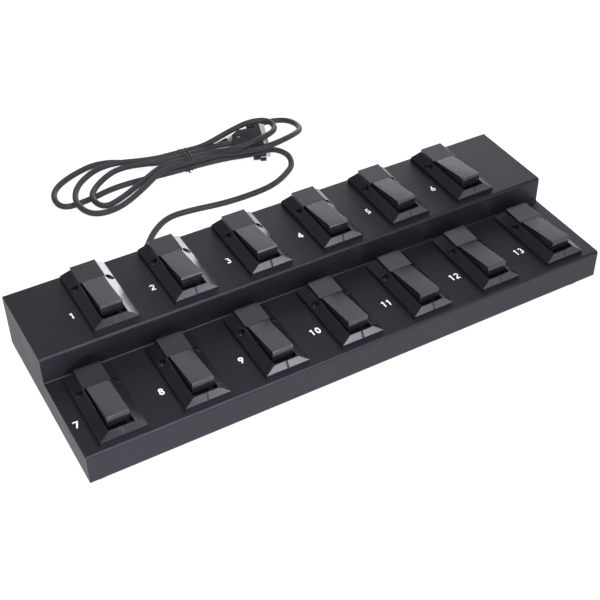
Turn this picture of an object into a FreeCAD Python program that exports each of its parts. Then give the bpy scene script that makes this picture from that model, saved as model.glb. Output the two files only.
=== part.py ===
import FreeCAD, Part
import Sketcher
import math
import os
import re

Vector = FreeCAD.Vector

# Foot pedal switch: a stepped sheet steel housing with two rows of hinged pedals.
# Frame: x along the rows, y from the front face to the rear, z up from the floor; millimetres.
# The origin is on the floor, under the middle of the housing.
# A pedal unit is drawn in a frame of its own: x across it, y from its front edge, z up from the panel.

FRONT_PEDALS = 7
REAR_PEDALS = 6
SCREW_PAIRS = 3

# Each board's fixings, by the pedal on their left
FRONT_FIXINGS = (1, 4, 6)
REAR_FIXINGS = (1, 5)

SIZES = {
    # Housing, folded from sheet steel
    "housing_length": 600.0,
    "front_tier_height": 33.5,
    "rear_tier_height": 64.5,
    "sheet_wall": 1.5,
    "bend_radius": 3.0,
    "lip_width": 12.0,
    "plate_thickness": 1.2,
    "plate_clearance": 0.3,
    "plate_screw_inset": 50.0,
    # Stick-on rubber feet
    "foot_height": 4.0,
    "foot_diameter": 20.0,
    "foot_dome": 2.8,
    "foot_left_inset": 12.0,
    "foot_right_inset": 29.0,
    "foot_edge_inset": 10.5,
    # Margins round the rows of pedals
    "end_margin": 41.1,
    "front_setback": 7.2,
    "front_tier_margin": 7.0,
    "rear_setback": 8.1,
    "rear_tier_margin": 5.1,
    # Moulded pedal base
    "base_width": 47.6,
    "base_length": 95.8,
    "skirt_height": 4.2,
    "rim_height": 10.8,
    "rim_width": 27.2,
    "rim_flat": 0.8,
    "front_bevel_run": 3.6,
    "rear_bevel_run": 4.0,
    "seam_place": 63.8,
    "block_height": 14.2,
    "block_rise": 0.8,
    "block_rear_step": 1.1,
    "floor_thickness": 2.0,
    "roof_thickness": 2.0,
    "chamber_rear": 78.0,
    # Pedal
    "pedal_width": 22.8,
    "pedal_front": 9.7,
    "pedal_lean": 0.5,
    "pedal_front_height": 21.5,
    "pedal_skirt": 9.4,
    "pedal_wall": 2.0,
    "pedal_top": 2.2,
    "pedal_chamfer": 0.8,
    "seam_gap": 0.5,
    "knuckle_radius": 3.6,
    "heel_length": 5.8,
    "heel_gap": 0.2,
    # Hinge pin
    "pin_place": 70.0,
    "pin_height": 7.5,
    "pin_diameter": 3.0,
    "pin_length": 32.0,
    "pin_clearance": 0.05,
    "saddle_mouth": 2.6,
    # Return spring
    "spring_place": 22.0,
    "spring_diameter": 9.0,
    "spring_wire": 1.0,
    "spring_height": 13.5,
    "pilot_height": 3.0,
    "pilot_clearance": 0.3,
    # Switch, the stem that works it, and the boards
    "stem_place": 42.0,
    "stem_width": 5.0,
    "stem_depth": 4.0,
    "stem_reach": 1.0,
    "floor_window": 10.0,
    "panel_window": 16.0,
    "board_drop": 8.5,
    "board_thickness": 1.6,
    "board_width": 24.0,
    "board_overhang": 20.0,
    "switch_side": 6.0,
    "switch_height": 3.5,
    "button_diameter": 3.4,
    "button_height": 1.2,
    "standoff_width": 6.0,
    "ribbon_width": 14.0,
    "ribbon_thickness": 0.8,
    "ribbon_place": 20.0,
    "ribbon_lap": 6.0,
    # Screws
    "base_screw_spacing": 38.2,
    "base_screw_place": 65.5,
    "recess_diameter": 8.4,
    "recess_floor": 3.6,
    "screw_diameter": 3.0,
    "screw_head_diameter": 5.8,
    "screw_head_height": 2.2,
    "screw_length": 9.0,
    "board_screw_length": 7.0,
    "hole_clearance": 0.1,
    # Cord, its strain relief and the header that it is soldered to
    "cord_diameter": 6.0,
    "cord_inset": 110.0,
    "cord_height": 22.0,
    "cord_clearance": 0.05,
    "header_width": 10.0,
    "header_depth": 12.0,
    "header_margin": 4.5,
    "relief_neck": 11.0,
    "relief_lip": 14.0,
    "relief_lip_depth": 1.5,
    "relief_collar": 15.0,
    "relief_collar_depth": 3.0,
    "relief_root": 11.0,
    "relief_tip": 8.4,
    "relief_length": 24.0,
    # Bundle of cord: its tie, set back from the rear face and right of the cord's outlet
    "tie_right": 188.0,
    "tie_back": 208.0,
    "tie_heading": -4.0,
    "tie_width": 1.6,
    "tie_thickness": 1.2,
    "tie_spacing": 8.0,
    "strand_gap": 0.7,
    "floor_gap": 0.2,
    # Plug, placed by the middle of its flange's front face
    "plug_right": 292.3,
    "plug_back": 197.9,
    "plug_height": 9.7,
    "plug_yaw": -19.0,
    "plug_roll": 5.3,
    "plug_screw_spacing": 63.5,
    "hood_length": 38.0,
    "hood_width": 34.0,
    "hood_thickness": 16.0,
    "hood_shoulder": 9.0,
    "wing_length": 11.0,
    "wing_width": 69.0,
    "wing_thickness": 11.0,
    "flange_thickness": 1.0,
    "flange_height": 12.5,
    "shroud_width": 55.4,
    "shroud_height": 8.4,
    "shroud_depth": 5.9,
    "shroud_wall": 0.5,
    "shroud_slant": 2.0,
    "contact_pitch": 2.77,
    "contact_row_gap": 2.84,
    "contact_width": 1.0,
    "contact_length": 5.0,
    "knob_diameter": 8.0,
    "knob_length": 5.0,
    "jack_diameter": 3.0,
    "jack_reach": 5.0,
}

DERIVED = {
    "front_tier_depth": "front_setback + base_length + front_tier_margin",
    "rear_tier_depth": "rear_setback + base_length + rear_tier_margin",
    "housing_depth": "front_tier_depth + rear_tier_depth",
    "front_face": "-housing_depth / 2",
    "rear_face": "housing_depth / 2",
    "riser": "front_face + front_tier_depth",
    "half_length": "housing_length / 2",
    "pedal_pitch": f"(housing_length - 2 * end_margin) / {FRONT_PEDALS - 1}",
    "plate_screw_pitch": "half_length - plate_screw_inset",
    "cord_place": "half_length - cord_inset",
    "front_panel": "foot_height + front_tier_height",
    "rear_panel": "foot_height + rear_tier_height",
    "lip_bottom": "foot_height + plate_thickness",
    "lip_top": "lip_bottom + sheet_wall",
    "lip_middle": "rear_face - sheet_wall - lip_width / 2",
    "foot_row_depth": "housing_depth - 2 * foot_edge_inset",
    "foot_row_length": "housing_length - foot_left_inset - foot_right_inset",
    "front_first": f"-pedal_pitch * {FRONT_PEDALS - 1} / 2",
    "rear_first": f"-pedal_pitch * {REAR_PEDALS - 1} / 2",
    "front_row": "front_face + front_setback",
    "rear_row": "riser + rear_setback",
    "slot_width": "rim_width - 2 * rim_flat",
    "slot_front": "front_bevel_run + rim_flat",
    "rear_rim": "base_length - rear_bevel_run",
    "block_rear": "rear_rim - block_rear_step",
    "pin_hole": "pin_diameter + 2 * pin_clearance",
    "screw_hole": "screw_diameter + 2 * hole_clearance",
    "spring_top": "floor_thickness + spring_height",
    "spring_bore": "spring_diameter - 2 * spring_wire",
    "pilot_diameter": "spring_bore - 2 * pilot_clearance",
    "pedal_rear": "seam_place - seam_gap",
    "pedal_crest": "pedal_front + pedal_lean",
    "pedal_slope": "(pedal_front_height - block_height) / (pedal_rear - pedal_crest)",
    "hollow_front": "pedal_crest + pedal_wall",
    "hollow_rear": "pedal_rear - 2 * pedal_wall",
    "hollow_ceiling": "pedal_front_height - pedal_slope * pedal_wall - pedal_top",
    "hollow_low_end": "block_height + pedal_slope * 2 * pedal_wall - pedal_top",
    "board_front_edge": "stem_place - board_width / 2",
    "board_rear_edge": "stem_place + board_width / 2",
    "board_depth": "board_drop + board_thickness",
    "button_top": "switch_height + button_height",
    "standoff_length": "board_drop - sheet_wall",
    "inner_cord_start": "front_row + board_rear_edge",
    "cord_outlet": "rear_face + relief_length",
    "strand_pitch": "cord_diameter + strand_gap",
    "strand_floor": "cord_diameter / 2 + floor_gap",
    "wing_half": "wing_width / 2",
}

doc = FreeCAD.newDocument("foot_pedal_switch")
sheet = doc.addObject("Spreadsheet::Sheet", "sizes")


def fill_sheet():
    """Driving dimensions first, then the places worked out from them."""
    for row, (name, size) in enumerate(SIZES.items(), 1):
        sheet.set(f"A{row}", name)
        sheet.set(f"B{row}", str(size))
        sheet.setAlias(f"B{row}", name)
    for row, (name, formula) in enumerate(DERIVED.items(), len(SIZES) + 1):
        sheet.set(f"A{row}", name)
        sheet.set(f"B{row}", "=" + formula)
        sheet.setAlias(f"B{row}", name)
    doc.recompute()


def bound(formula):
    """A formula of the sheet's names, written for use by another object."""
    return re.sub(
        r"[a-z_]+",
        lambda word: "sizes." + word[0] if word[0] in SIZES or word[0] in DERIVED else word[0],
        formula,
    )


def size(formula):
    """The number that a formula of the sheet's names gives."""
    return float(sheet.evalExpression(formula))


# Building blocks


def origin(body, role):
    return next(item for item in body.Origin.OriginFeatures if item.Role == role)


def new_body(name, x="0", y="0", z="0"):
    body = doc.addObject("PartDesign::Body", name)
    body.Label = name
    for axis, formula in zip("xyz", (x, y, z)):
        body.setExpression("Placement.Base." + axis, bound(formula))
    return body


def new_sketch(body, role, offset="0"):
    """A sketch on one of the body's own origin planes, moved along that plane's normal."""
    sketch = body.newObject("Sketcher::SketchObject", body.Name + "_sketch")
    sketch.AttachmentSupport = [(origin(body, role), "")]
    sketch.MapMode = "FlatFace"
    sketch.setExpression("AttachmentOffset.Base.z", bound(offset))
    return sketch


def constrain(sketch, constraint, formula):
    index = sketch.addConstraint(constraint)
    name = f"size_{index}"
    sketch.renameConstraint(index, name)
    sketch.setExpression("Constraints." + name, bound(formula))


def polygon(sketch, corners):
    """A closed outline whose corners are pairs of formulas."""
    first = sketch.GeometryCount
    count = len(corners)
    places = [Vector(size(across), size(up), 0) for across, up in corners]
    for step in range(count):
        sketch.addGeometry(Part.LineSegment(places[step], places[(step + 1) % count]))
    for step in range(count):
        following = first + (step + 1) % count
        sketch.addConstraint(Sketcher.Constraint("Coincident", first + step, 2, following, 1))
    for step, (across, up) in enumerate(corners):
        corner = places[step]
        constrain(sketch, Sketcher.Constraint("DistanceX", -1, 1, first + step, 1, corner.x), across)
        constrain(sketch, Sketcher.Constraint("DistanceY", -1, 1, first + step, 1, corner.y), up)


def rectangle(sketch, left, right, near, far):
    polygon(sketch, [(left, near), (right, near), (right, far), (left, far)])


def circle(sketch, across, up, diameter):
    place = Vector(size(across), size(up), 0)
    radius = size(diameter) / 2
    index = sketch.addGeometry(Part.Circle(place, Vector(0, 0, 1), radius))
    constrain(sketch, Sketcher.Constraint("DistanceX", -1, 1, index, 3, place.x), across)
    constrain(sketch, Sketcher.Constraint("DistanceY", -1, 1, index, 3, place.y), up)
    constrain(sketch, Sketcher.Constraint("Diameter", index, 2 * radius), diameter)


def facets(sketch, across, up, diameter, sides=6, hole=False):
    """A small round outline in flat sides: inside its circle, or around it for a hole."""
    reach = f"({diameter}) / 2"
    if hole:
        reach = f"{reach} / {round(math.cos(math.pi / sides), 6)}"
    corners = []
    for turn in range(sides):
        angle = 2 * math.pi * (turn + 0.5) / sides
        right = f"({across}) + {reach} * {round(math.cos(angle), 6)}"
        forward = f"({up}) + {reach} * {round(math.sin(angle), 6)}"
        corners.append((right, forward))
    polygon(sketch, corners)


def settle(body, feature):
    doc.recompute()
    body.Tip = feature
    return feature


def pad(body, sketch, length, both=False, back=False):
    feature = body.newObject("PartDesign::Pad", body.Name + "_pad")
    feature.Profile = sketch
    feature.SideType = "Symmetric" if both else "One side"
    feature.Reversed = back
    feature.setExpression("Length", bound(length))
    return settle(body, feature)


def pocket(body, sketch, length, both=False, up=False):
    """A cut against the sketch's normal, or along it where up is set."""
    before = body.Shape.Volume
    feature = body.newObject("PartDesign::Pocket", body.Name + "_pocket")
    feature.Profile = sketch
    feature.SideType = "Symmetric" if both else "One side"
    feature.Reversed = up
    feature.setExpression("Length", bound(length))
    settle(body, feature)
    if feature.Shape.Volume >= before:
        raise ValueError(f"{feature.Name} cuts nothing")
    return feature


def in_a_row(body, features, count, spacing, role="X_Axis"):
    """The features again, evenly spaced along one of the body's axes."""
    pattern = body.newObject("PartDesign::LinearPattern", body.Name + "_row")
    pattern.Originals = features
    pattern.Direction = (origin(body, role), [""])
    pattern.Mode = "Spacing"
    pattern.setExpression("Offset", bound(spacing))
    pattern.Occurrences = count
    return settle(body, pattern)


def edges_along(body, role, places):
    """Names of the straight edges along an axis that pass through the places, given as formulas."""
    index = "XYZ".index(role)
    found = []
    targets = [tuple(size(part) for part in place) for place in places]
    for number, edge in enumerate(body.Tip.Shape.Edges, 1):
        if edge.Curve.TypeId != "Part::GeomLine" or abs(edge.Curve.Direction[index]) < 0.999:
            continue
        middle = edge.CenterOfMass
        flat = [middle[axis] for axis in range(3) if axis != index]
        if any(math.dist(flat, target) < 0.01 for target in targets):
            found.append(f"Edge{number}")
    return found


def edges_at(body, role, place):
    """Names of the edges that lie at one place of an axis."""
    found = []
    for number, edge in enumerate(body.Tip.Shape.Edges, 1):
        box = edge.BoundBox
        low, high = {"X": (box.XMin, box.XMax), "Y": (box.YMin, box.YMax), "Z": (box.ZMin, box.ZMax)}[role]
        if max(abs(low - size(place)), abs(high - size(place))) < 0.01:
            found.append(f"Edge{number}")
    return found


def soften(body, kind, edges, amount):
    """A Fillet or Chamfer on named edges of the body's last feature."""
    last = body.Tip
    feature = body.newObject("PartDesign::" + kind, body.Name + "_" + kind.lower())
    feature.Base = (last, edges)
    feature.setExpression("Radius" if kind == "Fillet" else "Size", bound(amount))
    return settle(body, feature)


def copy_of(original, name, x, y, z):
    """A sub-part of its own with the shape of another one."""
    body = new_body(name, x, y, z)
    clone = doc.addObject("PartDesign::FeatureBase", name + "_shape")
    body.Group = [clone]
    clone.BaseFeature = original
    return settle(body, clone)


# Housing


def housing_profile(inset, bottom):
    """The stepped section of the housing, drawn inwards by the inset."""
    front = f"front_face + {inset}"
    rear = f"rear_face - {inset}"
    riser = f"riser + {inset}"
    low = f"front_panel - {inset}"
    high = f"rear_panel - {inset}"
    return [(front, bottom), (front, low), (riser, low), (riser, high), (rear, high), (rear, bottom)]


def make_housing():
    body = new_body("housing")
    outside = new_sketch(body, "YZ_Plane")
    polygon(outside, housing_profile("0", "foot_height"))
    pad(body, outside, "housing_length", both=True)
    inside = new_sketch(body, "YZ_Plane")
    polygon(inside, housing_profile("sheet_wall", "lip_top"))
    pocket(body, inside, "housing_length - 2 * sheet_wall", both=True)
    within = "half_length - sheet_wall"
    between_lips = new_sketch(body, "XY_Plane", "foot_height")
    front_lip = "front_face + sheet_wall + lip_width"
    rectangle(between_lips, f"-({within})", within, front_lip, f"-({front_lip})")
    pocket(body, between_lips, "lip_top", up=True)
    plate_seat = new_sketch(body, "XY_Plane", "foot_height")
    rectangle(plate_seat, f"-({within})", within, "front_face + sheet_wall", "rear_face - sheet_wall")
    pocket(body, plate_seat, "plate_thickness", up=True)
    outer_bends = [
        ("front_face", "front_panel"),
        ("riser", "rear_panel"),
        ("rear_face", "rear_panel"),
        ("riser + sheet_wall", "front_panel - sheet_wall"),
    ]
    soften(body, "Fillet", edges_along(body, "X", outer_bends), "bend_radius")
    inner_bends = [
        ("front_face + sheet_wall", "front_panel - sheet_wall"),
        ("riser + sheet_wall", "rear_panel - sheet_wall"),
        ("rear_face - sheet_wall", "rear_panel - sheet_wall"),
        ("riser", "front_panel"),
    ]
    soften(body, "Fillet", edges_along(body, "X", inner_bends), "bend_radius - sheet_wall")
    for first, count, row, panel in unit_rows():
        cut_panel(body, first, count, row, panel)
    screw_holes = new_sketch(body, "XY_Plane", "foot_height")
    plate_screw_pair(screw_holes, "screw_hole", hole=True)
    holes = pocket(body, screw_holes, "lip_top", up=True)
    in_a_row(body, [holes], SCREW_PAIRS, "plate_screw_pitch")
    cord_hole = new_sketch(body, "XZ_Plane", "-rear_face")
    circle(cord_hole, "-cord_place", "cord_height", "relief_neck + hole_clearance")
    pocket(body, cord_hole, "4 * sheet_wall", both=True)


def unit_rows():
    """For each row: its first pedal, how many, its front edge and its panel."""
    return [
        ("front_first", FRONT_PEDALS, "front_row", "front_panel"),
        ("rear_first", REAR_PEDALS, "rear_row", "rear_panel"),
    ]


def cut_panel(body, first, count, row, panel):
    """The window for each pedal's stem and the two holes for its screws."""
    sketch = new_sketch(body, "XY_Plane", panel)
    middle = f"{row} + stem_place"
    half = "panel_window / 2"
    rectangle(sketch, f"{first} - {half}", f"{first} + {half}", f"{middle} - {half}", f"{middle} + {half}")
    for side in ("-", "+"):
        x = f"{first} {side} base_screw_spacing / 2"
        facets(sketch, x, f"{row} + base_screw_place", "screw_hole", hole=True)
    cut = pocket(body, sketch, "2 * sheet_wall")
    in_a_row(body, [cut], count, "pedal_pitch")


def plate_screw_pair(sketch, diameter, sides=6, hole=False):
    """The first screws of the bottom plate, near the front and near the rear."""
    x = f"-plate_screw_pitch * {(SCREW_PAIRS - 1) / 2}"
    for side in ("-", ""):
        facets(sketch, x, f"{side}lip_middle", diameter, sides, hole)


def make_bottom_plate():
    body = new_body("bottom_plate", z="foot_height")
    outline = new_sketch(body, "XY_Plane")
    across = "half_length - sheet_wall - plate_clearance"
    deep = "rear_face - sheet_wall - plate_clearance"
    rectangle(outline, f"-({across})", across, f"-({deep})", deep)
    pad(body, outline, "plate_thickness")
    holes = new_sketch(body, "XY_Plane")
    plate_screw_pair(holes, "screw_hole", hole=True)
    cut = pocket(body, holes, "plate_thickness", up=True)
    in_a_row(body, [cut], SCREW_PAIRS, "plate_screw_pitch")


def make_plate_screws():
    body = new_body("plate_screws", z="foot_height")
    head = new_sketch(body, "XY_Plane")
    plate_screw_pair(head, "screw_head_diameter")
    heads = pad(body, head, "screw_head_height", back=True)
    shank = new_sketch(body, "XY_Plane")
    plate_screw_pair(shank, "screw_diameter")
    shanks = pad(body, shank, "screw_length - screw_head_height")
    in_a_row(body, [heads, shanks], SCREW_PAIRS, "plate_screw_pitch")


def make_feet():
    """Domed feet, stuck to the bottom plate where the photograph shows them."""
    body = new_body("rubber_feet", "foot_left_inset - half_length", "front_face + foot_edge_inset")
    sole = new_sketch(body, "XY_Plane")
    facets(sole, "0", "0", "foot_diameter", sides=16)
    disc = pad(body, sole, "foot_height")
    dome = soften(body, "Chamfer", edges_at(body, "Z", "0"), "foot_dome")
    rows = in_a_row(body, [disc, dome], 2, "foot_row_length")
    rows.Direction2 = (origin(body, "Y_Axis"), [""])
    rows.Mode2 = "Spacing"
    rows.setExpression("Offset2", bound("foot_row_depth"))
    rows.Occurrences2 = 2
    settle(body, rows)


# Pedal unit


def make_base(name, x, y, z):
    """Moulded frame: bevelled flanks, a slot for the pedal and a block over the hinge."""
    body = new_body(name, x, y, z)
    side = new_sketch(body, "YZ_Plane")
    polygon(
        side,
        [
            ("0", "0"),
            ("base_length", "0"),
            ("base_length", "skirt_height"),
            ("rear_rim", "rim_height"),
            ("block_rear", "rim_height"),
            ("block_rear", "block_height + block_rise"),
            ("seam_place", "block_height"),
            ("seam_place", "rim_height"),
            ("front_bevel_run", "rim_height"),
            ("0", "skirt_height"),
        ],
    )
    pad(body, side, "base_width", both=True)
    flanks = new_sketch(body, "XZ_Plane", "-base_length / 2")
    top = "block_height + 2 * block_rise"
    for hand in ("-", ""):
        corners = [
            (f"{hand}base_width / 2", "skirt_height"),
            (f"{hand}rim_width / 2", "rim_height"),
            (f"{hand}rim_width / 2", top),
            (f"{hand}base_width / 2", top),
        ]
        polygon(flanks, corners)
    pocket(body, flanks, "2 * base_length", both=True)
    slot = new_sketch(body, "XY_Plane", "floor_thickness")
    rectangle(slot, "-slot_width / 2", "slot_width / 2", "slot_front", "seam_place")
    pocket(body, slot, "block_height", up=True)
    chamber = new_sketch(body, "XY_Plane", "floor_thickness")
    rectangle(chamber, "-slot_width / 2", "slot_width / 2", "seam_place - pedal_wall", "chamber_rear")
    pocket(body, chamber, "block_height - roof_thickness - floor_thickness", up=True)
    cut_hinge_saddles(body)
    cut_screw_recesses(body)
    window = new_sketch(body, "XY_Plane")
    half = "floor_window / 2"
    rectangle(window, f"-{half}", half, f"stem_place - {half}", f"stem_place + {half}")
    pocket(body, window, "floor_thickness", up=True)
    pilot = new_sketch(body, "XY_Plane", "floor_thickness")
    facets(pilot, "0", "spring_place", "pilot_diameter")
    pad(body, pilot, "pilot_height")
    return body


def cut_hinge_saddles(body):
    """Bearings for the pin in both cheeks, open below so that the pin snaps in."""
    bearing = new_sketch(body, "YZ_Plane")
    facets(bearing, "pin_place", "pin_height", "pin_hole", sides=8, hole=True)
    pocket(body, bearing, "pin_length + 2 * pilot_clearance", both=True)
    mouth = new_sketch(body, "XY_Plane")
    near = "pin_place - saddle_mouth / 2"
    far = "pin_place + saddle_mouth / 2"
    rectangle(mouth, "-pin_length / 2 - pilot_clearance", "-slot_width / 2", near, far)
    rectangle(mouth, "slot_width / 2", "pin_length / 2 + pilot_clearance", near, far)
    pocket(body, mouth, "pin_height - pin_diameter / 2 + saddle_mouth / 8", up=True)


def cut_screw_recesses(body):
    recess = new_sketch(body, "XY_Plane", "recess_floor")
    hole = new_sketch(body, "XY_Plane")
    for side in ("-", ""):
        x = f"{side}base_screw_spacing / 2"
        facets(recess, x, "base_screw_place", "recess_diameter", sides=8)
        facets(hole, x, "base_screw_place", "screw_hole", hole=True)
    pocket(body, recess, "block_height", up=True)
    pocket(body, hole, "recess_floor", up=True)


def make_pedal(name, x, y, z):
    """Hollow moulded pedal with a hinge knuckle, a heel that stops it at rest and a stem."""
    body = new_body(name, x, y, z)
    outline = new_sketch(body, "YZ_Plane")
    knuckle_top = "pin_height + knuckle_radius"
    knuckle_bottom = "pin_height - knuckle_radius"
    heel_bottom = "floor_thickness + heel_gap"
    heel_rear = "pin_place + heel_length"
    polygon(
        outline,
        [
            ("pedal_front", "pedal_skirt"),
            ("pedal_crest", "pedal_front_height"),
            ("pedal_rear", "block_height"),
            ("pedal_rear", knuckle_top),
            ("pin_place + knuckle_radius / 2", knuckle_top),
            ("pin_place + knuckle_radius", "pin_height + knuckle_radius / 2"),
            (heel_rear, f"{heel_bottom} + pedal_wall"),
            (heel_rear, heel_bottom),
            ("pin_place", heel_bottom),
            ("pin_place - knuckle_radius", knuckle_bottom),
        ],
    )
    pad(body, outline, "pedal_width", both=True)
    hollow = new_sketch(body, "YZ_Plane")
    polygon(
        hollow,
        [
            ("hollow_front", "0"),
            ("hollow_front", "hollow_ceiling"),
            ("hollow_rear", "hollow_low_end"),
            ("hollow_rear", "0"),
        ],
    )
    pocket(body, hollow, "pedal_width - 2 * pedal_wall", both=True)
    add_spring_seat(body)
    stem = new_sketch(body, "XY_Plane", "-stem_reach")
    near = "stem_place - stem_depth / 2"
    far = "stem_place + stem_depth / 2"
    rectangle(stem, "-stem_width / 2", "stem_width / 2", near, far)
    pad(body, stem, f"stem_reach + {ceiling_at('stem_place')} + pedal_top / 2")
    bore = new_sketch(body, "YZ_Plane")
    facets(bore, "pin_place", "pin_height", "pin_hole", sides=8, hole=True)
    pocket(body, bore, "2 * pedal_width", both=True)
    crest = edges_along(body, "X", [("pedal_crest", "pedal_front_height")])
    soften(body, "Chamfer", crest, "pedal_chamfer")
    return body


def ceiling_at(place):
    """Height of the pedal's inner ceiling at a place along it."""
    return f"(pedal_front_height - pedal_slope * ({place} - pedal_crest) - pedal_top)"


def add_spring_seat(body):
    seat = new_sketch(body, "XY_Plane", "spring_top")
    facets(seat, "0", "spring_place", "spring_diameter + spring_wire")
    pad(body, seat, f"{ceiling_at('spring_place')} + pedal_top / 2 - spring_top")
    pilot = new_sketch(body, "XY_Plane", "spring_top - pilot_height")
    facets(pilot, "0", "spring_place", "pilot_diameter")
    pad(body, pilot, "pilot_height + spring_wire")


def make_spring(name, x, y, z):
    """Return spring, a sleeve of the coil's outer and inner size."""
    body = new_body(name, x, y, z)
    sleeve = new_sketch(body, "XY_Plane", "floor_thickness")
    facets(sleeve, "0", "spring_place", "spring_diameter")
    facets(sleeve, "0", "spring_place", "spring_bore", hole=True)
    pad(body, sleeve, "spring_height")
    return body


def make_units():
    """Every base, pedal and spring, numbered from the left: the rear row first."""
    makers = {"pedal_base": make_base, "pedal": make_pedal, "return_spring": make_spring}
    first_of = {}
    number = 0
    for first, count, row, panel in reversed(unit_rows()):
        for place in range(count):
            number += 1
            x = f"{first} + {place} * pedal_pitch"
            for kind, maker in makers.items():
                name = f"{kind}_{number:02d}"
                if kind in first_of:
                    copy_of(first_of[kind], name, x, row, panel)
                else:
                    first_of[kind] = maker(name, x, row, panel)


def in_both_rows(name, add_features):
    """A group of like pieces, one or a pair at every pedal."""
    body = new_body(name)
    for first, count, row, panel in unit_rows():
        in_a_row(body, add_features(body, first, row, panel), count, "pedal_pitch")


def pin_at(body, first, row, panel):
    sketch = new_sketch(body, "YZ_Plane", f"{first} - pin_length / 2")
    facets(sketch, f"{row} + pin_place", f"{panel} + pin_height", "pin_diameter", sides=8)
    return [pad(body, sketch, "pin_length")]


def base_screws_at(body, first, row, panel):
    head = new_sketch(body, "XY_Plane", f"{panel} + recess_floor")
    shank = new_sketch(body, "XY_Plane", f"{panel} + recess_floor")
    for side in ("-", "+"):
        x = f"{first} {side} base_screw_spacing / 2"
        facets(head, x, f"{row} + base_screw_place", "screw_head_diameter", sides=8)
        facets(shank, x, f"{row} + base_screw_place", "screw_diameter")
    heads = pad(body, head, "screw_head_height")
    shanks = pad(body, shank, "screw_length", back=True)
    return [heads, shanks]


def switch_at(body, first, row, panel):
    case = new_sketch(body, "XY_Plane", f"{panel} - board_drop")
    middle = f"{row} + stem_place"
    half = "switch_side / 2"
    rectangle(case, f"{first} - {half}", f"{first} + {half}", f"{middle} - {half}", f"{middle} + {half}")
    button = new_sketch(body, "XY_Plane", f"{panel} - board_drop")
    facets(button, first, middle, "button_diameter")
    return [pad(body, case, "switch_height"), pad(body, button, "button_top")]


# Boards under the panels


def board_fixings():
    """For each board: its row, its panel, and its fixings, all midway between two pedals."""
    fixings = []
    for row, gaps in (("front", FRONT_FIXINGS), ("rear", REAR_FIXINGS)):
        places = [f"{row}_first + {gap - 0.5} * pedal_pitch" for gap in gaps]
        fixings.append((f"{row}_row", f"{row}_panel", places))
    return fixings


def make_boards():
    pedals = {"front": FRONT_PEDALS, "rear": REAR_PEDALS}
    for row, panel, places in board_fixings():
        name = row.split("_")[0]
        body = new_body(f"board_{name}", y=row, z=f"{panel} - board_depth")
        outline = new_sketch(body, "XY_Plane")
        half = f"(pedal_pitch * {(pedals[name] - 1) / 2} + board_overhang)"
        rectangle(outline, f"-{half}", half, "board_front_edge", "board_rear_edge")
        for place in places:
            facets(outline, place, "stem_place", "screw_hole", hole=True)
        pad(body, outline, "board_thickness")
        if name == "front":
            add_cord_header(body)


def add_cord_header(body):
    """Block under the front board's rear edge, where the cord's wires are soldered."""
    header = new_sketch(body, "XY_Plane")
    left = "-cord_place - header_width / 2"
    right = "-cord_place + header_width / 2"
    rectangle(header, left, right, "board_rear_edge - header_depth", "board_rear_edge")
    pad(body, header, "front_panel - board_depth - cord_height + header_margin", back=True)


def make_standoffs():
    body = new_body("board_standoffs")
    for row, panel, places in board_fixings():
        section = new_sketch(body, "XY_Plane", f"{panel} - board_drop")
        for place in places:
            facets(section, place, f"{row} + stem_place", "standoff_width")
            facets(section, place, f"{row} + stem_place", "screw_hole", hole=True)
        pad(body, section, "standoff_length")


def make_board_screws():
    body = new_body("board_screws")
    for row, panel, places in board_fixings():
        head = new_sketch(body, "XY_Plane", f"{panel} - board_depth")
        shank = new_sketch(body, "XY_Plane", f"{panel} - board_depth")
        for place in places:
            facets(head, place, f"{row} + stem_place", "screw_head_diameter")
            facets(shank, place, f"{row} + stem_place", "screw_diameter")
        pad(body, head, "screw_head_height", back=True)
        pad(body, shank, "board_screw_length")


def make_link_ribbon():
    """Flat cable from the top of the front board, under the riser, to the top of the rear board."""
    body = new_body("link_ribbon", x="ribbon_place")
    start = "front_row + board_rear_edge"
    end = "rear_row + board_front_edge"
    low = "front_panel - board_drop"
    high = "rear_panel - board_drop"
    path = [
        (f"{start} - ribbon_lap", low),
        ("riser + 3 * sheet_wall", low),
        (f"{end} - 2 * sheet_wall", high),
        (f"{end} + ribbon_lap", high),
    ]
    section = new_sketch(body, "YZ_Plane")
    upper = [(y, f"{z} + ribbon_thickness") for y, z in reversed(path)]
    polygon(section, path + upper)
    pad(body, section, "ribbon_width", both=True)


# Cord, from the header on the front board to the plug


def make_cable_gland():
    """Strain relief: a lip inside the rear wall, a neck in its hole, a collar and a ribbed sleeve."""
    body = new_body("cable_gland", "-cord_place", "rear_face", "cord_height")
    step = "(relief_length - relief_collar_depth) / 3"
    rings = [
        ("-sheet_wall - relief_lip_depth", "relief_lip_depth", "relief_lip"),
        ("-sheet_wall", "sheet_wall", "relief_neck"),
        ("0", "relief_collar_depth", "relief_collar"),
        ("relief_collar_depth", step, "relief_root"),
        (f"relief_collar_depth + {step}", step, "(relief_root + relief_tip) / 2"),
        (f"relief_length - {step}", step, "relief_tip"),
    ]
    for start, length, diameter in rings:
        ring = new_sketch(body, "XZ_Plane", f"-({start})")
        facets(ring, "0", "0", diameter, sides=12)
        pad(body, ring, length, back=True)
    bore = new_sketch(body, "XZ_Plane", "sheet_wall + relief_lip_depth")
    facets(bore, "0", "0", "cord_diameter + 2 * cord_clearance", hole=True)
    pocket(body, bore, "sheet_wall + relief_lip_depth + relief_length", up=False)


def make_inner_cord():
    """The stretch of cord inside the housing and through the strain relief."""
    body = new_body("inner_cord", "-cord_place", "inner_cord_start", "cord_height")
    section = new_sketch(body, "XZ_Plane")
    facets(section, "0", "0", "cord_diameter")
    pad(body, section, "cord_outlet - inner_cord_start", back=True)


def cord_point(right, back, height):
    """A place given from the floor under the cord's outlet in the rear face."""
    return Vector(right - size("cord_place"), back + size("rear_face"), height)


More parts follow.
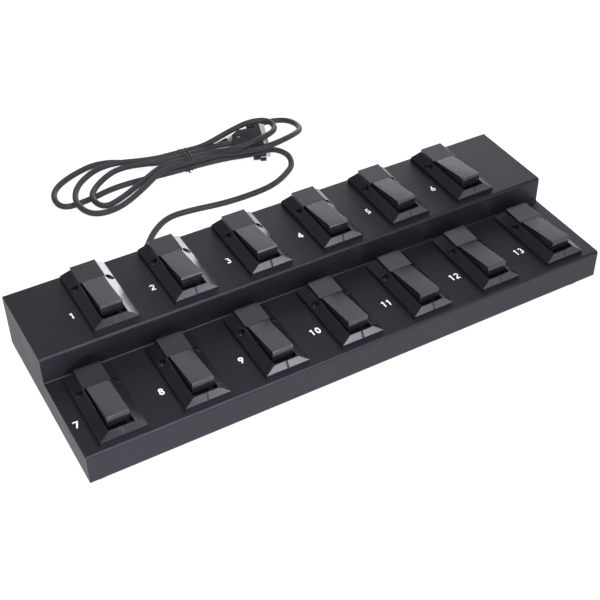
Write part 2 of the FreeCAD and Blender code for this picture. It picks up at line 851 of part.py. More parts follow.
def cord_section(start, heading):
    """The cord's outline, square to its heading, in six sides inside its circle."""
    side = Vector(0, 0, 1).cross(heading).normalize()
    up = heading.cross(side)
    radius = size("cord_diameter") / 2
    corners = []
    for turn in range(6):
        angle = math.radians(60 * turn + 30)
        corners.append(start + side * (radius * math.cos(angle)) + up * (radius * math.sin(angle)))
    return Part.makePolygon(corners + corners[:1])


def rounded_corner(before, corner, after):
    """An arc that leaves one line and joins another, both starting equally far from the corner."""
    into = (corner - before).normalize()
    out = (after - corner).normalize()
    half_turn = into.getAngle(out) / 2
    if half_turn < 1e-4:
        return Part.makeLine(before, after), math.inf
    radius = before.distanceToPoint(corner) / math.tan(half_turn)
    inward = (out - into).normalize()
    middle = corner + inward * (radius / math.cos(half_turn) - radius)
    return Part.Arc(before, middle, after).toShape(), radius


def sweep_cord(name, edges, start, heading):
    """The cord's solid along a path, checked against the path's length."""
    path = Part.Wire(edges)
    section = cord_section(start, heading)
    tube = path.makePipeShell([section], True, False)
    expected = Part.Face(section).Area * path.Length
    print(name, "length", round(path.Length, 1), "volume ratio", round(tube.Volume / expected, 4))
    if tube.BoundBox.ZMin < 0:
        raise ValueError(f"{name} lies below the floor by {-tube.BoundBox.ZMin:.2f}")
    piece = doc.addObject("Part::Feature", name)
    piece.Label = name
    piece.Shape = tube
    return piece


def make_cord_lead():
    """Straight runs joined by tangent arcs, from the strain relief to the bundle."""
    floor = size("strand_floor")
    start = cord_point(0, size("relief_length"), size("cord_height"))
    corners = [
        start,
        cord_point(0, size("relief_length") + 19, size("cord_height") - 0.5),
        cord_point(9, size("relief_length") + 38, 15.5),
        cord_point(27, size("relief_length") + 48, 8),
        cord_point(57, size("relief_length") + 50, floor),
        cord_point(108, 103.2, floor),
        cord_point(150, 115.5, floor),
        cord_point(193, 108.8, floor),
        cord_point(235, 110, floor),
        cord_point(265.2, 112.9, floor),
        hank_nodes()[0][0],
    ]
    runs = [first.distanceToPoint(second) for first, second in zip(corners, corners[1:])]
    edges = []
    radii = []
    place = start
    for index in range(1, len(corners) - 1):
        reach = 0.45 * min(runs[index - 1], runs[index])
        before = corners[index] + (corners[index - 1] - corners[index]).normalize() * reach
        after = corners[index] + (corners[index + 1] - corners[index]).normalize() * reach
        bend, radius = rounded_corner(before, corners[index], after)
        edges += [Part.makeLine(place, before), bend]
        radii.append(round(radius, 1))
        place = after
    edges.append(Part.makeLine(place, corners[-1]))
    print("cord_lead radii", radii)
    sweep_cord("cord_lead", edges, start, (corners[1] - start).normalize())


# The bundle: loops to the left and right of a tie, drawn by one formula.
# A pass is a place in the tie: how far back and how high, in strands.
PASSES = [(-1.65, 0), (1.8, 0), (-1.65, 1), (1.8, 1), (-0.54, 1), (0.62, 1)]

# Each loop: its tip from the tie, half width, rise towards the back, and its height
# in strands at a quarter, at the tip and at three quarters of its way round.
LOOPS = [
    (-171, 3.5, 30, 23, 0, 0, 0),
    (158, 3.5, 41, -11, 0.2, 1.5, 3.25),
    (-151, -37.5, 39, 19, 1, 1, 1),
    (119, -9.5, 25, 3, 3.1, 3.4, 3.7),
    (-132, -34, 23, 17.5, 1.05, 1, 1),
]

# The way in, over the plug: places from the outlet, with the heading in degrees.
WAY_IN = [
    (287.5, 126.3, 3.2, 31),
    (303.9, 143.9, 4.0, 66),
    (302.9, 160.6, 8.5, 130),
    (279.8, 165.5, 16.6, 174),
    (250.6, 181.1, 8.6, 153),
]


def strand_height(layer):
    return size("strand_floor") + layer * size("strand_pitch")


def heading_vector(degrees):
    return Vector(math.cos(math.radians(degrees)), math.sin(math.radians(degrees)), 0)


def tie_frame():
    """The tie's place on the floor, its direction along the strands and across them."""
    along = heading_vector(size("tie_heading"))
    return cord_point(size("tie_right"), size("tie_back"), 0), along, Vector(-along.y, along.x, 0)


def pass_node(number, side, leaving):
    """Where a strand meets the straight stretch through the tie, and its heading there."""
    place, along, across = tie_frame()
    back, layer = PASSES[number]
    height = strand_height(layer) + size("tie_thickness")
    half = size("tie_spacing") * 1.5
    node = place + along * (side * half) + across * (back * size("strand_pitch")) + Vector(0, 0, height)
    return node, along * (side if leaving else -side)


def loop_nodes(number):
    """The nodes of one loop: out of the tie, a quarter round, its tip, and back."""
    right, back, half_width, rise, *layers = LOOPS[number]
    side = 1 if right > 0 else -1
    tie = tie_frame()[0]
    reach = Vector(right, back, 0)
    outward = Vector(right, back, 0).normalize()
    rearward = Vector(-outward.y, outward.x, 0) * side

    def place_at(part):
        out = math.sin(math.pi * part)
        rear = side * half_width * math.sin(2 * math.pi * part) + rise * math.sin(math.pi * out)
        return tie + reach * out + rearward * rear

    nodes = [pass_node(number, side, True)]
    last = pass_node(number + 1, side, False)
    for step, layer in enumerate(layers, 1):
        part = step / 4
        node = place_at(part) + Vector(0, 0, strand_height(layer))
        heading = (place_at(part + 1e-4) - place_at(part - 1e-4)).normalize()
        nodes.append((node, heading))
    return slope_headings(nodes + [last])


def slope_headings(nodes):
    """The inner nodes' headings, sloped by the height between their neighbours."""
    sloped = [nodes[0]]
    for (before, _), (node, heading), (after, _) in zip(nodes, nodes[1:], nodes[2:]):
        run = before.distanceToPoint(node) + node.distanceToPoint(after)
        sloped.append((node, (heading + Vector(0, 0, (after.z - before.z) / run)).normalize()))
    return sloped + [nodes[-1]]


def plug_place(forward, across=0, up=0):
    """A place given in the plug's own frame."""
    local = Vector(forward, across, up)
    return plug_rotation().multVec(local) + cord_point(
        size("plug_right"), size("plug_back"), size("plug_height")
    )


def plug_rotation():
    return FreeCAD.Rotation(size("plug_yaw"), 0, size("plug_roll"))


def hank_nodes():
    """Every node of the bundle's strand with its heading, from the lead to the plug."""
    way_in = [
        (cord_point(right, back, height), heading_vector(heading))
        for right, back, height, heading in WAY_IN
    ]
    nodes = slope_headings(way_in + [pass_node(0, 1, False)])
    for number in range(len(LOOPS)):
        nodes += loop_nodes(number)
    forward = plug_rotation().multVec(Vector(1, 0, 0))
    end = -size("hood_length") - size("flange_thickness")
    nodes.append(pass_node(len(LOOPS), 1, True))
    nodes.append((plug_place(end - size("cord_diameter") - 2), forward))
    nodes.append((plug_place(end), forward))
    return nodes


def double_arc(start, heading, end, end_heading):
    """Two arcs that leave one node and reach the next along their headings."""
    span = end - start
    both = heading + end_heading
    spread = 1 - heading.dot(end_heading)
    if spread < 1e-9:
        reach = span.dot(span) / (4 * span.dot(end_heading))
    else:
        across = span.dot(both)
        reach = (math.sqrt(across * across + 2 * spread * span.dot(span)) - across) / (2 * spread)
    first = start + heading * reach
    second = end - end_heading * reach
    middle = (first + second) / 2
    return [rounded_corner(start, first, middle), rounded_corner(middle, second, end)]


def make_cord_hank():
    nodes = hank_nodes()
    edges = []
    radii = []
    for (start, heading), (end, end_heading) in zip(nodes, nodes[1:]):
        for bend, radius in double_arc(start, heading, end, end_heading):
            edges.append(bend)
            radii.append(radius)
    print("cord_hank least radius", round(min(radii), 1), "gap", round(least_gap(edges), 2))
    sweep_cord("cord_hank", edges, *nodes[0])


def least_gap(edges):
    """The least air between two strands, measured on points four millimetres apart."""
    points = []
    for edge in edges:
        points += edge.discretize(max(2, int(edge.Length / 4) + 1))[1:]
    walked = [0.0]
    for first, second in zip(points, points[1:]):
        walked.append(walked[-1] + first.distanceToPoint(second))
    far = 5 * size("cord_diameter")
    least = math.inf
    for index, point in enumerate(points):
        for other in range(index + 1, len(points)):
            if walked[other] - walked[index] > far:
                least = min(least, point.distanceToPoint(points[other]))
    return least - size("cord_diameter")


def make_hank_tie():
    """Two wraps of wire round the strands."""
    body = doc.addObject("PartDesign::Body", "hank_tie")
    body.Label = "hank_tie"
    spot = "vector(sizes.tie_right - sizes.cord_place; sizes.tie_back + sizes.rear_face; 0)"
    turn = "rotation(vector(0; 0; 1); sizes.tie_heading)"
    body.setExpression("Placement", f"placement({spot}; {turn})")
    inner_near = f"{PASSES[0][0]} * strand_pitch - cord_diameter / 2 - hole_clearance"
    inner_far = f"{PASSES[1][0]} * strand_pitch + cord_diameter / 2 + hole_clearance"
    inner_low = "strand_floor + tie_thickness - cord_diameter / 2 - hole_clearance"
    inner_high = "strand_floor + tie_thickness + strand_pitch + cord_diameter / 2 + hole_clearance"
    for side in ("-", "+"):
        wrap = new_sketch(body, "YZ_Plane", f"{side}tie_spacing / 2")
        rectangle(
            wrap,
            f"{inner_near} - tie_thickness",
            f"{inner_far} + tie_thickness",
            f"{inner_low} - tie_thickness",
            f"{inner_high} + tie_thickness",
        )
        rectangle(wrap, inner_near, inner_far, inner_low, inner_high)
        pad(body, wrap, "tie_width", both=True)


# Plug


def plug_body(name):
    """A body in the plug's frame: x out of its face, y along its rows of contacts."""
    body = doc.addObject("PartDesign::Body", name)
    body.Label = name
    spot = (
        "vector(sizes.plug_right - sizes.cord_place;"
        " sizes.plug_back + sizes.rear_face; sizes.plug_height)"
    )
    turn = (
        "rotation(vector(0; 0; 1); sizes.plug_yaw)"
        " * rotation(vector(1; 0; 0); sizes.plug_roll)"
    )
    body.setExpression("Placement", f"placement({spot}; {turn})")
    doc.recompute()
    return body


def make_plug_hood():
    """Hood with sloped shoulders and a wing on each side for its screws."""
    body = plug_body("plug_hood")
    outline = new_sketch(body, "XY_Plane")
    rear = "-hood_length - flange_thickness"
    face = "-flange_thickness"
    half = "hood_width / 2"
    polygon(
        outline,
        [
            (face, f"-{half}"),
            (face, half),
            (f"{rear} + hood_shoulder", half),
            (rear, f"{half} - hood_shoulder"),
            (rear, f"hood_shoulder - {half}"),
            (f"{rear} + hood_shoulder", f"-{half}"),
        ],
    )
    pad(body, outline, "hood_thickness", both=True)
    wings = new_sketch(body, "XY_Plane")
    rectangle(wings, f"-wing_length + {face}", face, "-wing_half", "wing_half")
    pad(body, wings, "wing_thickness", both=True)
    holes = new_sketch(body, "YZ_Plane", "-wing_length - flange_thickness")
    for side in ("-", ""):
        facets(holes, f"{side}plug_screw_spacing / 2", "0", "jack_diameter + hole_clearance", 8, True)
    pocket(body, holes, "wing_length", up=True)
    insert = new_sketch(body, "YZ_Plane", face)
    inside = "shroud_width / 2 - shroud_wall - hole_clearance"
    tall = "shroud_height / 2 - shroud_wall - hole_clearance"
    shroud_outline(insert, inside, tall)
    pad(body, insert, "flange_thickness + 0.6")
    edges = edges_along(
        body, "X", [(f"{side}{half}", "hood_thickness / 2") for side in ("-", "")]
    )
    soften(body, "Chamfer", edges, "hood_thickness / 8")


def shroud_outline(sketch, half_width, half_height):
    """The face's outline, wider above than below."""
    polygon(
        sketch,
        [
            (f"-({half_width}) + shroud_slant", f"-({half_height})"),
            (f"{half_width} - shroud_slant", f"-({half_height})"),
            (half_width, half_height),
            (f"-({half_width})", half_height),
        ],
    )


def make_plug_shell():
    """Metal flange and the shroud round the contacts."""
    body = plug_body("plug_shell")
    flange = new_sketch(body, "YZ_Plane", "-flange_thickness")
    rectangle(flange, "-wing_half", "wing_half", "-flange_height / 2", "flange_height / 2")
    inside = "shroud_width / 2 - shroud_wall"
    tall = "shroud_height / 2 - shroud_wall"
    shroud_outline(flange, inside, tall)
    for side in ("-", ""):
        facets(flange, f"{side}plug_screw_spacing / 2", "0", "jack_diameter + hole_clearance", 8, True)
    pad(body, flange, "flange_thickness")
    shroud = new_sketch(body, "YZ_Plane")
    shroud_outline(shroud, "shroud_width / 2", "shroud_height / 2")
    shroud_outline(shroud, inside, tall)
    pad(body, shroud, "shroud_depth")


def make_plug_pins():
    """Two rows of contacts, the upper one longer by one contact."""
    body = plug_body("plug_pins")
    for height, count in (("contact_row_gap / 2", 19), ("-contact_row_gap / 2", 18)):
        pin = new_sketch(body, "YZ_Plane", "0.6")
        half = "contact_width / 2"
        first = f"-contact_pitch * {(count - 1) / 2}"
        rectangle(pin, f"{first} - {half}", f"{first} + {half}", f"{height} - {half}", f"{height} + {half}")
        row = pad(body, pin, "contact_length - 0.6")
        in_a_row(body, [row], count, "contact_pitch", role="Y_Axis")


def make_plug_thumbscrews():
    """Two knobs behind the wings, with their screws through wing and flange."""
    body = plug_body("plug_thumbscrews")
    knobs = new_sketch(body, "YZ_Plane", "-wing_length - flange_thickness")
    jacks = new_sketch(body, "YZ_Plane", "-wing_length - flange_thickness")
    for side in ("-", ""):
        facets(knobs, f"{side}plug_screw_spacing / 2", "0", "knob_diameter", sides=12)
        facets(jacks, f"{side}plug_screw_spacing / 2", "0", "jack_diameter", sides=8)
    pad(body, knobs, "knob_length", back=True)
    pad(body, jacks, "wing_length + flange_thickness + jack_reach")


fill_sheet()
make_housing()
make_bottom_plate()
make_plate_screws()
make_feet()
make_units()
in_both_rows("hinge_pins", pin_at)
in_both_rows("base_screws", base_screws_at)
in_both_rows("switches", switch_at)
make_boards()
make_standoffs()
make_board_screws()
make_link_ribbon()
make_cable_gland()
make_inner_cord()
make_cord_lead()
make_cord_hank()
make_hank_tie()
make_plug_hood()
make_plug_shell()
make_plug_pins()
make_plug_thumbscrews()


def sub_parts():
    """Every finished sub-part: the bodies, and the features that no body holds."""
    bodies = [item for item in doc.Objects if item.TypeId == "PartDesign::Body"]
    loose = [item for item in doc.Objects if item.TypeId == "Part::Feature"]
    return bodies + loose


def write_parts():
    doc.recompute()
    for item in doc.Objects:
        if "Invalid" in item.State or "Error" in item.State:
            raise ValueError(f"{item.Label} failed: {item.State}")
    for item in sub_parts():
        if item.Shape.isNull() or not item.Shape.isValid():
            raise ValueError(f"{item.Label} has no valid shape")
    os.makedirs("parts", exist_ok=True)
    for item in sub_parts():
        item.Shape.exportStep(f"parts/{item.Label}.step")
        print(item.Label, len(item.Shape.Solids), round(item.Shape.Volume, 1))


write_parts()
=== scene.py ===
import math

import bmesh
import bpy
from bpy.props import FloatProperty, FloatVectorProperty, PointerProperty
from mathutils import Matrix, Vector


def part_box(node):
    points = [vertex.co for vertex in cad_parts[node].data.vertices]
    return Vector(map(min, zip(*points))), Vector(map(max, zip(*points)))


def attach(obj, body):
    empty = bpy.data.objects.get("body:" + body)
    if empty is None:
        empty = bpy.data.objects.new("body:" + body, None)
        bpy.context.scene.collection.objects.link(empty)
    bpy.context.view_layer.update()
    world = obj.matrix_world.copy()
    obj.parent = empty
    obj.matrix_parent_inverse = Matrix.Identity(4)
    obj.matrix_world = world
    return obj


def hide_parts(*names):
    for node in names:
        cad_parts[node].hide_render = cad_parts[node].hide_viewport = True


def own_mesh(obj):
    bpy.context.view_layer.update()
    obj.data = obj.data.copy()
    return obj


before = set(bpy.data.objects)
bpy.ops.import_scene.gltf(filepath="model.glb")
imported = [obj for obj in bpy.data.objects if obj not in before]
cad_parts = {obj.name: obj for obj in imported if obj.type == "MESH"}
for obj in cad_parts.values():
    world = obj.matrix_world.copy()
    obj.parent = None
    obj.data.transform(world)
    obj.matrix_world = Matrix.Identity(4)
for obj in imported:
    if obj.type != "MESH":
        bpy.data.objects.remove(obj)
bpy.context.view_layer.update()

bl_info = {
    "name": "Foot pedal switch",
    "version": (1, 0, 0),
    "blender": (4, 5, 0),
    "location": "3D View > Sidebar > Foot switch",
    "description": "Finishes the thirteen-pedal foot switch, its cord and its plug, and lights them",
    "category": "Object",
}

MM = 0.001
PEDALS = range(1, 14)
CHASSIS = "chassis"

# Moulded base, in millimetres: x from its middle, y from its front edge, z from the panel
BASE_HALF_WIDTH = 23.8
BASE_LENGTH = 95.8
SKIRT_TOP = 4.2
RIM_HALF_WIDTH = 13.6
RIM_TOP = 10.8
RIM_FRONT = 3.6
RIM_REAR = 91.8
SLOT_HALF_WIDTH = 12.8
SLOT_FRONT = 4.4
SEAM = 63.8
BLOCK_FRONT_TOP = 14.2
BLOCK_REAR = 90.7
BLOCK_REAR_TOP = 15.0
FLOOR_TOP = 2.0
CHAMBER_REAR = 78.0
CHAMBER_TOP = 12.2
WINDOW_HALF = 5.0
SCREW_PLACES = ((-19.1, 65.5), (19.1, 65.5))
SCREW_SEAT = 3.6
SCREW_HOLE_RADIUS = 1.6
GATE_OUTLINE = ((-0.4, 4.2), (0.14, 3.98), (3.86, 10.8), (3.4, 11.4))
GATE_HALF_WIDTH = 1.2
EJECTOR_PLACE = (1.5, 67.2)
EJECTOR_RADIUS = 1.5
EJECTOR_DEPTH = 0.15
# How far a cutter runs past the face that it opens, and a height above every base
CUT_OVER = 1.0
ABOVE_BASE = 20.0

# Pedal, in the same frame as its base; the outlines are of y and z
PEDAL_HALF_WIDTH = 11.4
PEDAL_WALL = 2.0
PEDAL_OUTLINE = (
    (10.1, 9.4), (10.5, 18.9), (9.9, 19.1), (10.05, 19.6), (10.75, 21.4), (11.0, 21.45),
    (63.3, 14.2), (63.3, 11.1), (71.8, 11.1), (73.6, 9.3), (75.8, 4.2), (75.8, 2.2),
    (70.0, 2.2), (66.4, 3.9),
)
HOLLOW_OUTLINE = ((12.2, -2.0), (12.2, 19.0), (59.3, 12.5), (59.3, -2.0))
PIN_PLACE = (70.0, 7.5)
PIN_BORE_RADIUS = 1.55
STEM_PLACE = 42.0
STEM_HALF_WIDTH = 2.5
STEM_HALF_LENGTH = 2.0
STEM_TOP = 16.0

# Return spring, in the same frame; the seat's profile is of height and radius
SPRING_PLACE = 22.0
SPRING_LOW = 2.0
SPRING_HIGH = 15.5
COIL_RADIUS = 4.0
COIL_WIRE_RADIUS = 0.5
COIL_TURNS = 6
COIL_STEPS = 20
SEAT_PROFILE = ((12.5, 0), (12.5, 2.7), (12.8, 2.9), (15.5, 2.9), (15.5, 4.9), (18.5, 4.9))

# Places in the object's own frame, in metres and degrees
FEET = [(x, y) for x in (-0.288, 0.271) for y in (-0.099, 0.099)]
REAR_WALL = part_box("housing")[1].y
PLATE_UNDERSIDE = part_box("bottom_plate")[0].z
PLATE_SCREW_XS = (-0.25, 0.0, 0.25)
PLATE_SCREW_Y = 0.102
CORD_EXIT = Vector((-0.190, 0.1335, 0.022))
CORD_RADIUS = 0.0036
CORD_REST = 0.0038
CORD_LAYER = 0.0076
SLEEVE_PLACE = Vector((0.088, 0.3475, 0.0050))
SLEEVE_HALF = 0.020
SLEEVE_THICKNESS = 0.0002
TIE_PLACE = Vector((-0.002, 0.3175, 0.0))
TIE_HEADING = -4
TIE_HALF = 0.012
TIE_WIRE = 0.0014
PLUG_FRAME = (
    Matrix.Translation((0.1023, 0.3074, 0.0097))
    @ Matrix.Rotation(math.radians(-19), 4, "Z")
    @ Matrix.Rotation(math.radians(5.3), 4, "X")
)


# Sizes and colours


class FootSwitchSizes(bpy.types.PropertyGroup):
    edge_round: FloatProperty(
        name="Moulded edge", description="Round of the moulded pieces' edges",
        default=0.0004, min=0.0001, max=0.001, precision=4, unit="LENGTH",
    )
    bend_round: FloatProperty(
        name="Sheet edge", description="Round of the sheet metal's cut edges",
        default=0.0007, min=0.0001, max=0.001, precision=4, unit="LENGTH",
    )
    recess_radius: FloatProperty(
        name="Screw recess", description="Radius of the recess over each base screw",
        default=0.0042, min=0.003, max=0.0044, precision=4, unit="LENGTH",
    )
    number_height: FloatProperty(
        name="Number height", description="Height of the printed numbers",
        default=0.0088, min=0.004, max=0.012, precision=4, unit="LENGTH",
    )


class FootSwitchColours(bpy.types.PropertyGroup):
    coat: FloatVectorProperty(
        name="Powder coat", description="Colour of the housing",
        subtype="COLOR", size=3, min=0, max=1, default=(0.0055, 0.0053, 0.0072),
    )
    moulding: FloatVectorProperty(
        name="Moulding", description="Colour of pedals and bases",
        subtype="COLOR", size=3, min=0, max=1, default=(0.008, 0.008, 0.010),
    )
    cord: FloatVectorProperty(
        name="Cord", description="Colour of the cord's jacket",
        subtype="COLOR", size=3, min=0, max=1, default=(0.042, 0.040, 0.048),
    )
    print_white: FloatVectorProperty(
        name="Print", description="Colour of the numbers",
        subtype="COLOR", size=3, min=0, max=1, default=(0.86, 0.86, 0.86),
    )


class FootSwitchStage(bpy.types.PropertyGroup):
    lens: FloatProperty(
        name="Lens", description="Focal length of the camera, in millimetres",
        default=70.54, min=20, max=200, unit="CAMERA",
    )
    softbox: FloatProperty(
        name="Softbox", description="Power of the large light behind the switch",
        default=24.0, min=0, max=500, unit="POWER",
    )
    fill: FloatProperty(
        name="Fill", description="Power of the low light in front of the switch",
        default=5.0, min=0, max=500, unit="POWER",
    )
    front: FloatProperty(
        name="Front", description="Power of the light over the floor in front of the switch",
        default=4.5, min=0, max=500, unit="POWER",
    )
    bounce: FloatProperty(
        name="Bounce", description="Power of the strip near the floor to the front left",
        default=5.0, min=0, max=500, unit="POWER",
    )
    overhead: FloatProperty(
        name="Overhead", description="Power of the light above the switch",
        default=26.0, min=0, max=500, unit="POWER",
    )


# Materials

LILAC = (0.80, 0.78, 1.0)
PALE_LILAC = (0.88, 0.86, 1.0)
# Between these values a noise texture does nearly all its changing
NOISE_LOW = 0.3
NOISE_HIGH = 0.7


def empty_tree(holder):
    """The node tree of a new material or world, with nothing in it."""
    holder.use_nodes = True
    holder.node_tree.nodes.clear()
    return holder.node_tree


def add_node(tree, kind, values=None):
    """A node whose named sockets are set to values or joined to other nodes' outputs."""
    node = tree.nodes.new(kind)
    for socket, value in (values or {}).items():
        if isinstance(value, bpy.types.NodeSocket):
            tree.links.new(value, node.inputs[socket])
        else:
            node.inputs[socket].default_value = value
    return node


def noise_of(tree, scale, stretch=(1, 1, 1)):
    """Noise in the piece's own coordinates, in metres."""
    place = add_node(tree, "ShaderNodeTexCoord")
    spread = add_node(tree, "ShaderNodeMapping", {
        "Vector": place.outputs["Object"], "Scale": stretch,
    })
    texture = add_node(tree, "ShaderNodeTexNoise", {
        "Vector": spread.outputs["Vector"], "Scale": scale, "Detail": 3.0,
    })
    return texture.outputs["Fac"]


def tinted(tree, noise, colour, spread):
    """Colour that drifts between a darker and a lighter shade of itself."""
    ramp = add_node(tree, "ShaderNodeValToRGB", {"Fac": noise})
    darker, lighter = ramp.color_ramp.elements
    darker.position, lighter.position = NOISE_LOW, NOISE_HIGH
    darker.color = (*[part * (1 - spread) for part in colour], 1)
    lighter.color = (*[min(1, part * (1 + spread)) for part in colour], 1)
    return ramp.outputs["Color"]


def surface(name, colour, rough=(0.4, 0.5), metallic=0.0, tint=0.08, drift=40, grain=900,
            bump=0.2, depth=0.00005, stretch=(1, 1, 1), specular=0.5, sheen=(1, 1, 1)):
    """A finish with a drifting colour, an uneven gloss and a fine relief."""
    material = bpy.data.materials.new(name)
    tree = empty_tree(material)
    gloss = add_node(tree, "ShaderNodeMapRange", {
        "Value": noise_of(tree, drift * 4), "From Min": NOISE_LOW, "From Max": NOISE_HIGH,
        "To Min": rough[0], "To Max": rough[1],
    })
    relief = add_node(tree, "ShaderNodeBump", {
        "Height": noise_of(tree, grain, stretch), "Strength": bump, "Distance": depth,
    })
    shader = add_node(tree, "ShaderNodeBsdfPrincipled", {
        "Base Color": tinted(tree, noise_of(tree, drift), colour, tint),
        "Roughness": gloss.outputs["Result"], "Normal": relief.outputs["Normal"],
        "Metallic": metallic, "Specular IOR Level": specular, "Specular Tint": (*sheen, 1),
    })
    add_node(tree, "ShaderNodeOutputMaterial", {"Surface": shader.outputs["BSDF"]})
    return material


def colours():
    """The colours that the panel holds."""
    return bpy.context.scene.foot_switch_colours


def powder_coat():
    """Satin powder coat with a fine orange peel."""
    return surface("powder_coat", colours().coat, rough=(0.48, 0.54), drift=9, grain=1500,
                   bump=0.3, depth=0.00004, specular=0.47, sheen=LILAC)


def black_moulding():
    """Semi-gloss black plastic with the faint texture of its mould."""
    return surface("black_moulding", colours().moulding, rough=(0.20, 0.24), tint=0.14, drift=60,
                   grain=2600, depth=0.00002, specular=1.0, sheen=PALE_LILAC)


def gate_mark():
    """The same plastic, matt where the mould's gate was."""
    return surface("gate_mark", colours().moulding, rough=(0.55, 0.65), tint=0.14, drift=60,
                   grain=1600, bump=0.4, depth=0.00003, specular=0.6, sheen=PALE_LILAC)


def cord_jacket():
    """Soft matt jacket of the cord."""
    return surface("cord_jacket", colours().cord, rough=(0.5, 0.6), tint=0.10, drift=30,
                   grain=1800, depth=0.00003, specular=0.25)


# Meshes


def shift(x, y, z):
    """A move given in millimetres."""
    return Matrix.Translation(Vector((x, y, z)) * MM)


def add_polyhedron(mesh, corners, faces):
    """Faces given by their corners' names; sizes in millimetres."""
    made = {key: mesh.verts.new(Vector(place) * MM) for key, place in corners.items()}
    for face in faces:
        mesh.faces.new([made[key] for key in face.split()])
    bmesh.ops.recalc_face_normals(mesh, faces=mesh.faces)


def add_prism(mesh, outline, low, high, axis=0):
    """A prism along x (axis 0), y (1) or z (2) over an outline of the other two, in millimetres."""
    def corner_at(place, along):
        parts = list(place)
        parts.insert(axis, along)
        return mesh.verts.new(Vector(parts) * MM)

    near = [corner_at(place, low) for place in outline]
    far = [corner_at(place, high) for place in outline]
    mesh.faces.new(near)
    mesh.faces.new(list(reversed(far)))
    for step, corner in enumerate(near):
        following = (step + 1) % len(near)
        mesh.faces.new([near[following], corner, far[step], far[following]])
    bmesh.ops.recalc_face_normals(mesh, faces=mesh.faces)


def add_box(mesh, low, high):
    (left, front, bottom), (right, back, top) = low, high
    add_prism(mesh, [(front, bottom), (back, bottom), (back, top), (front, top)], left, right)


def add_lathe(mesh, profile, frame_of, sides, ribs=None):
    """A profile of (height, radius) in millimetres, turned about the frame's z axis."""
    rings = []
    for height, radius in profile:
        if radius < 1e-6:
            rings.append([mesh.verts.new(frame_of @ Vector((0, 0, height * MM)))])
            continue
        ring = []
        for side in range(sides):
            angle = 2 * math.pi * side / sides
            reach = radius * MM * (ribs(side) if ribs else 1)
            place = Vector((math.cos(angle) * reach, math.sin(angle) * reach, height * MM))
            ring.append(mesh.verts.new(frame_of @ place))
        rings.append(ring)
    for lower, upper in zip(rings, rings[1:]):
        for side in range(sides):
            following = (side + 1) % sides
            quad = [lower[side % len(lower)], lower[following % len(lower)],
                    upper[following % len(upper)], upper[side % len(upper)]]
            mesh.faces.new(list(dict.fromkeys(quad)))
    for ring in (rings[0], rings[-1]):
        if len(ring) > 1:
            mesh.faces.new(ring)
    bmesh.ops.recalc_face_normals(mesh, faces=mesh.faces)


def add_tube(mesh, points, radius, sides, closed=False):
    """A round tube along points in metres, its ring carried from point to point."""
    count = len(points)
    rings = []
    side = None
    for index, point in enumerate(points):
        before = points[(index - 1) % count] if closed or index else point
        after = points[(index + 1) % count] if closed or index < count - 1 else point
        heading = (after - before).normalized()
        if side is None:
            side = heading.orthogonal().normalized()
        side = (side - heading * side.dot(heading)).normalized()
        other = heading.cross(side)
        rings.append([
            mesh.verts.new(point + (side * math.cos(angle) + other * math.sin(angle)) * radius)
            for angle in (2 * math.pi * turn / sides for turn in range(sides))
        ])
    pairs = list(zip(rings, rings[1:]))
    if closed:
        pairs.append((rings[-1], rings[0]))
    for lower, upper in pairs:
        for turn in range(sides):
            following = (turn + 1) % sides
            mesh.faces.new([lower[turn], lower[following], upper[following], upper[turn]])
    if not closed:
        mesh.faces.new(rings[0])
        mesh.faces.new(rings[-1])
    bmesh.ops.recalc_face_normals(mesh, faces=mesh.faces)


def add_rods(mesh, places, radius, low, high, sides=48):
    """Upright rods at places given in millimetres."""
    for x, y in places:
        add_lathe(mesh, [(low, radius), (high, radius)], shift(x, y, 0), sides)


def shaped(add, *sizes, **options):
    """A new mesh with one of the shapes above in it."""
    mesh = bmesh.new()
    add(mesh, *sizes, **options)
    return mesh


def scene_object(name, data):
    piece = bpy.data.objects.new(name, data)
    bpy.context.scene.collection.objects.link(piece)
    return piece


def loose_object(name, mesh):
    data = bpy.data.meshes.new(name)
    mesh.to_mesh(data)
    mesh.free()
    return scene_object(name, data)


def smooth(data):
    for face in data.polygons:
        face.use_smooth = True


def cut_away(piece, cutters):
    """Each cutter, a mesh of its own, taken from the piece."""
    for number, cutter in enumerate(cutters):
        tool = loose_object(f"{piece.name}_cutter_{number}", cutter)
        cut = piece.modifiers.new("cut", "BOOLEAN")
        cut.operation = "DIFFERENCE"
        cut.solver = "EXACT"
        cut.object = tool
        settle(piece)
        bpy.data.objects.remove(tool)


def settle(piece):
    """The piece's modifiers become its mesh."""
    graph = bpy.context.evaluated_depsgraph_get()
    data = bpy.data.meshes.new_from_object(piece.evaluated_get(graph))
    piece.modifiers.clear()
    piece.data = data


def taken_mesh(piece):
    """The settled mesh of a piece that isn't needed any more."""
    settle(piece)
    data = piece.data
    bpy.data.objects.remove(piece)
    return data


def soften(piece, width, segments=3, angle=25):
    """Rounds the sharp edges and evens the shading."""
    weld = piece.modifiers.new("weld", "WELD")
    weld.merge_threshold = 0.00001
    bevel = piece.modifiers.new("edges", "BEVEL")
    bevel.width = width
    bevel.segments = segments
    bevel.limit_method = "ANGLE"
    bevel.angle_limit = math.radians(angle)
    bevel.harden_normals = True
    even = piece.modifiers.new("shading", "WEIGHTED_NORMAL")
    even.weight = 80
    smooth(piece.data)


def finish_piece(piece, body, material, *nodes):
    """Material, body and the CAD nodes it stands for; no material keeps those it has."""
    if material:
        piece.data.materials.clear()
        piece.data.materials.append(material)
    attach(piece, body)
    if nodes:
        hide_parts(*nodes)
    return piece


def finish_node(name, material, width=0.0002, angle=25):
    """A CAD node that keeps its shape gets its finish and softened edges."""
    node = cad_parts[name]
    node.data.materials.clear()
    node.data.materials.append(material)
    soften(node, width, 2, angle)


def base_place(number):
    """The middle of that base's front edge, on the panel."""
    low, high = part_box(f"pedal_base_{number:02d}")
    return Vector(((low.x + high.x) / 2, low.y, low.z))


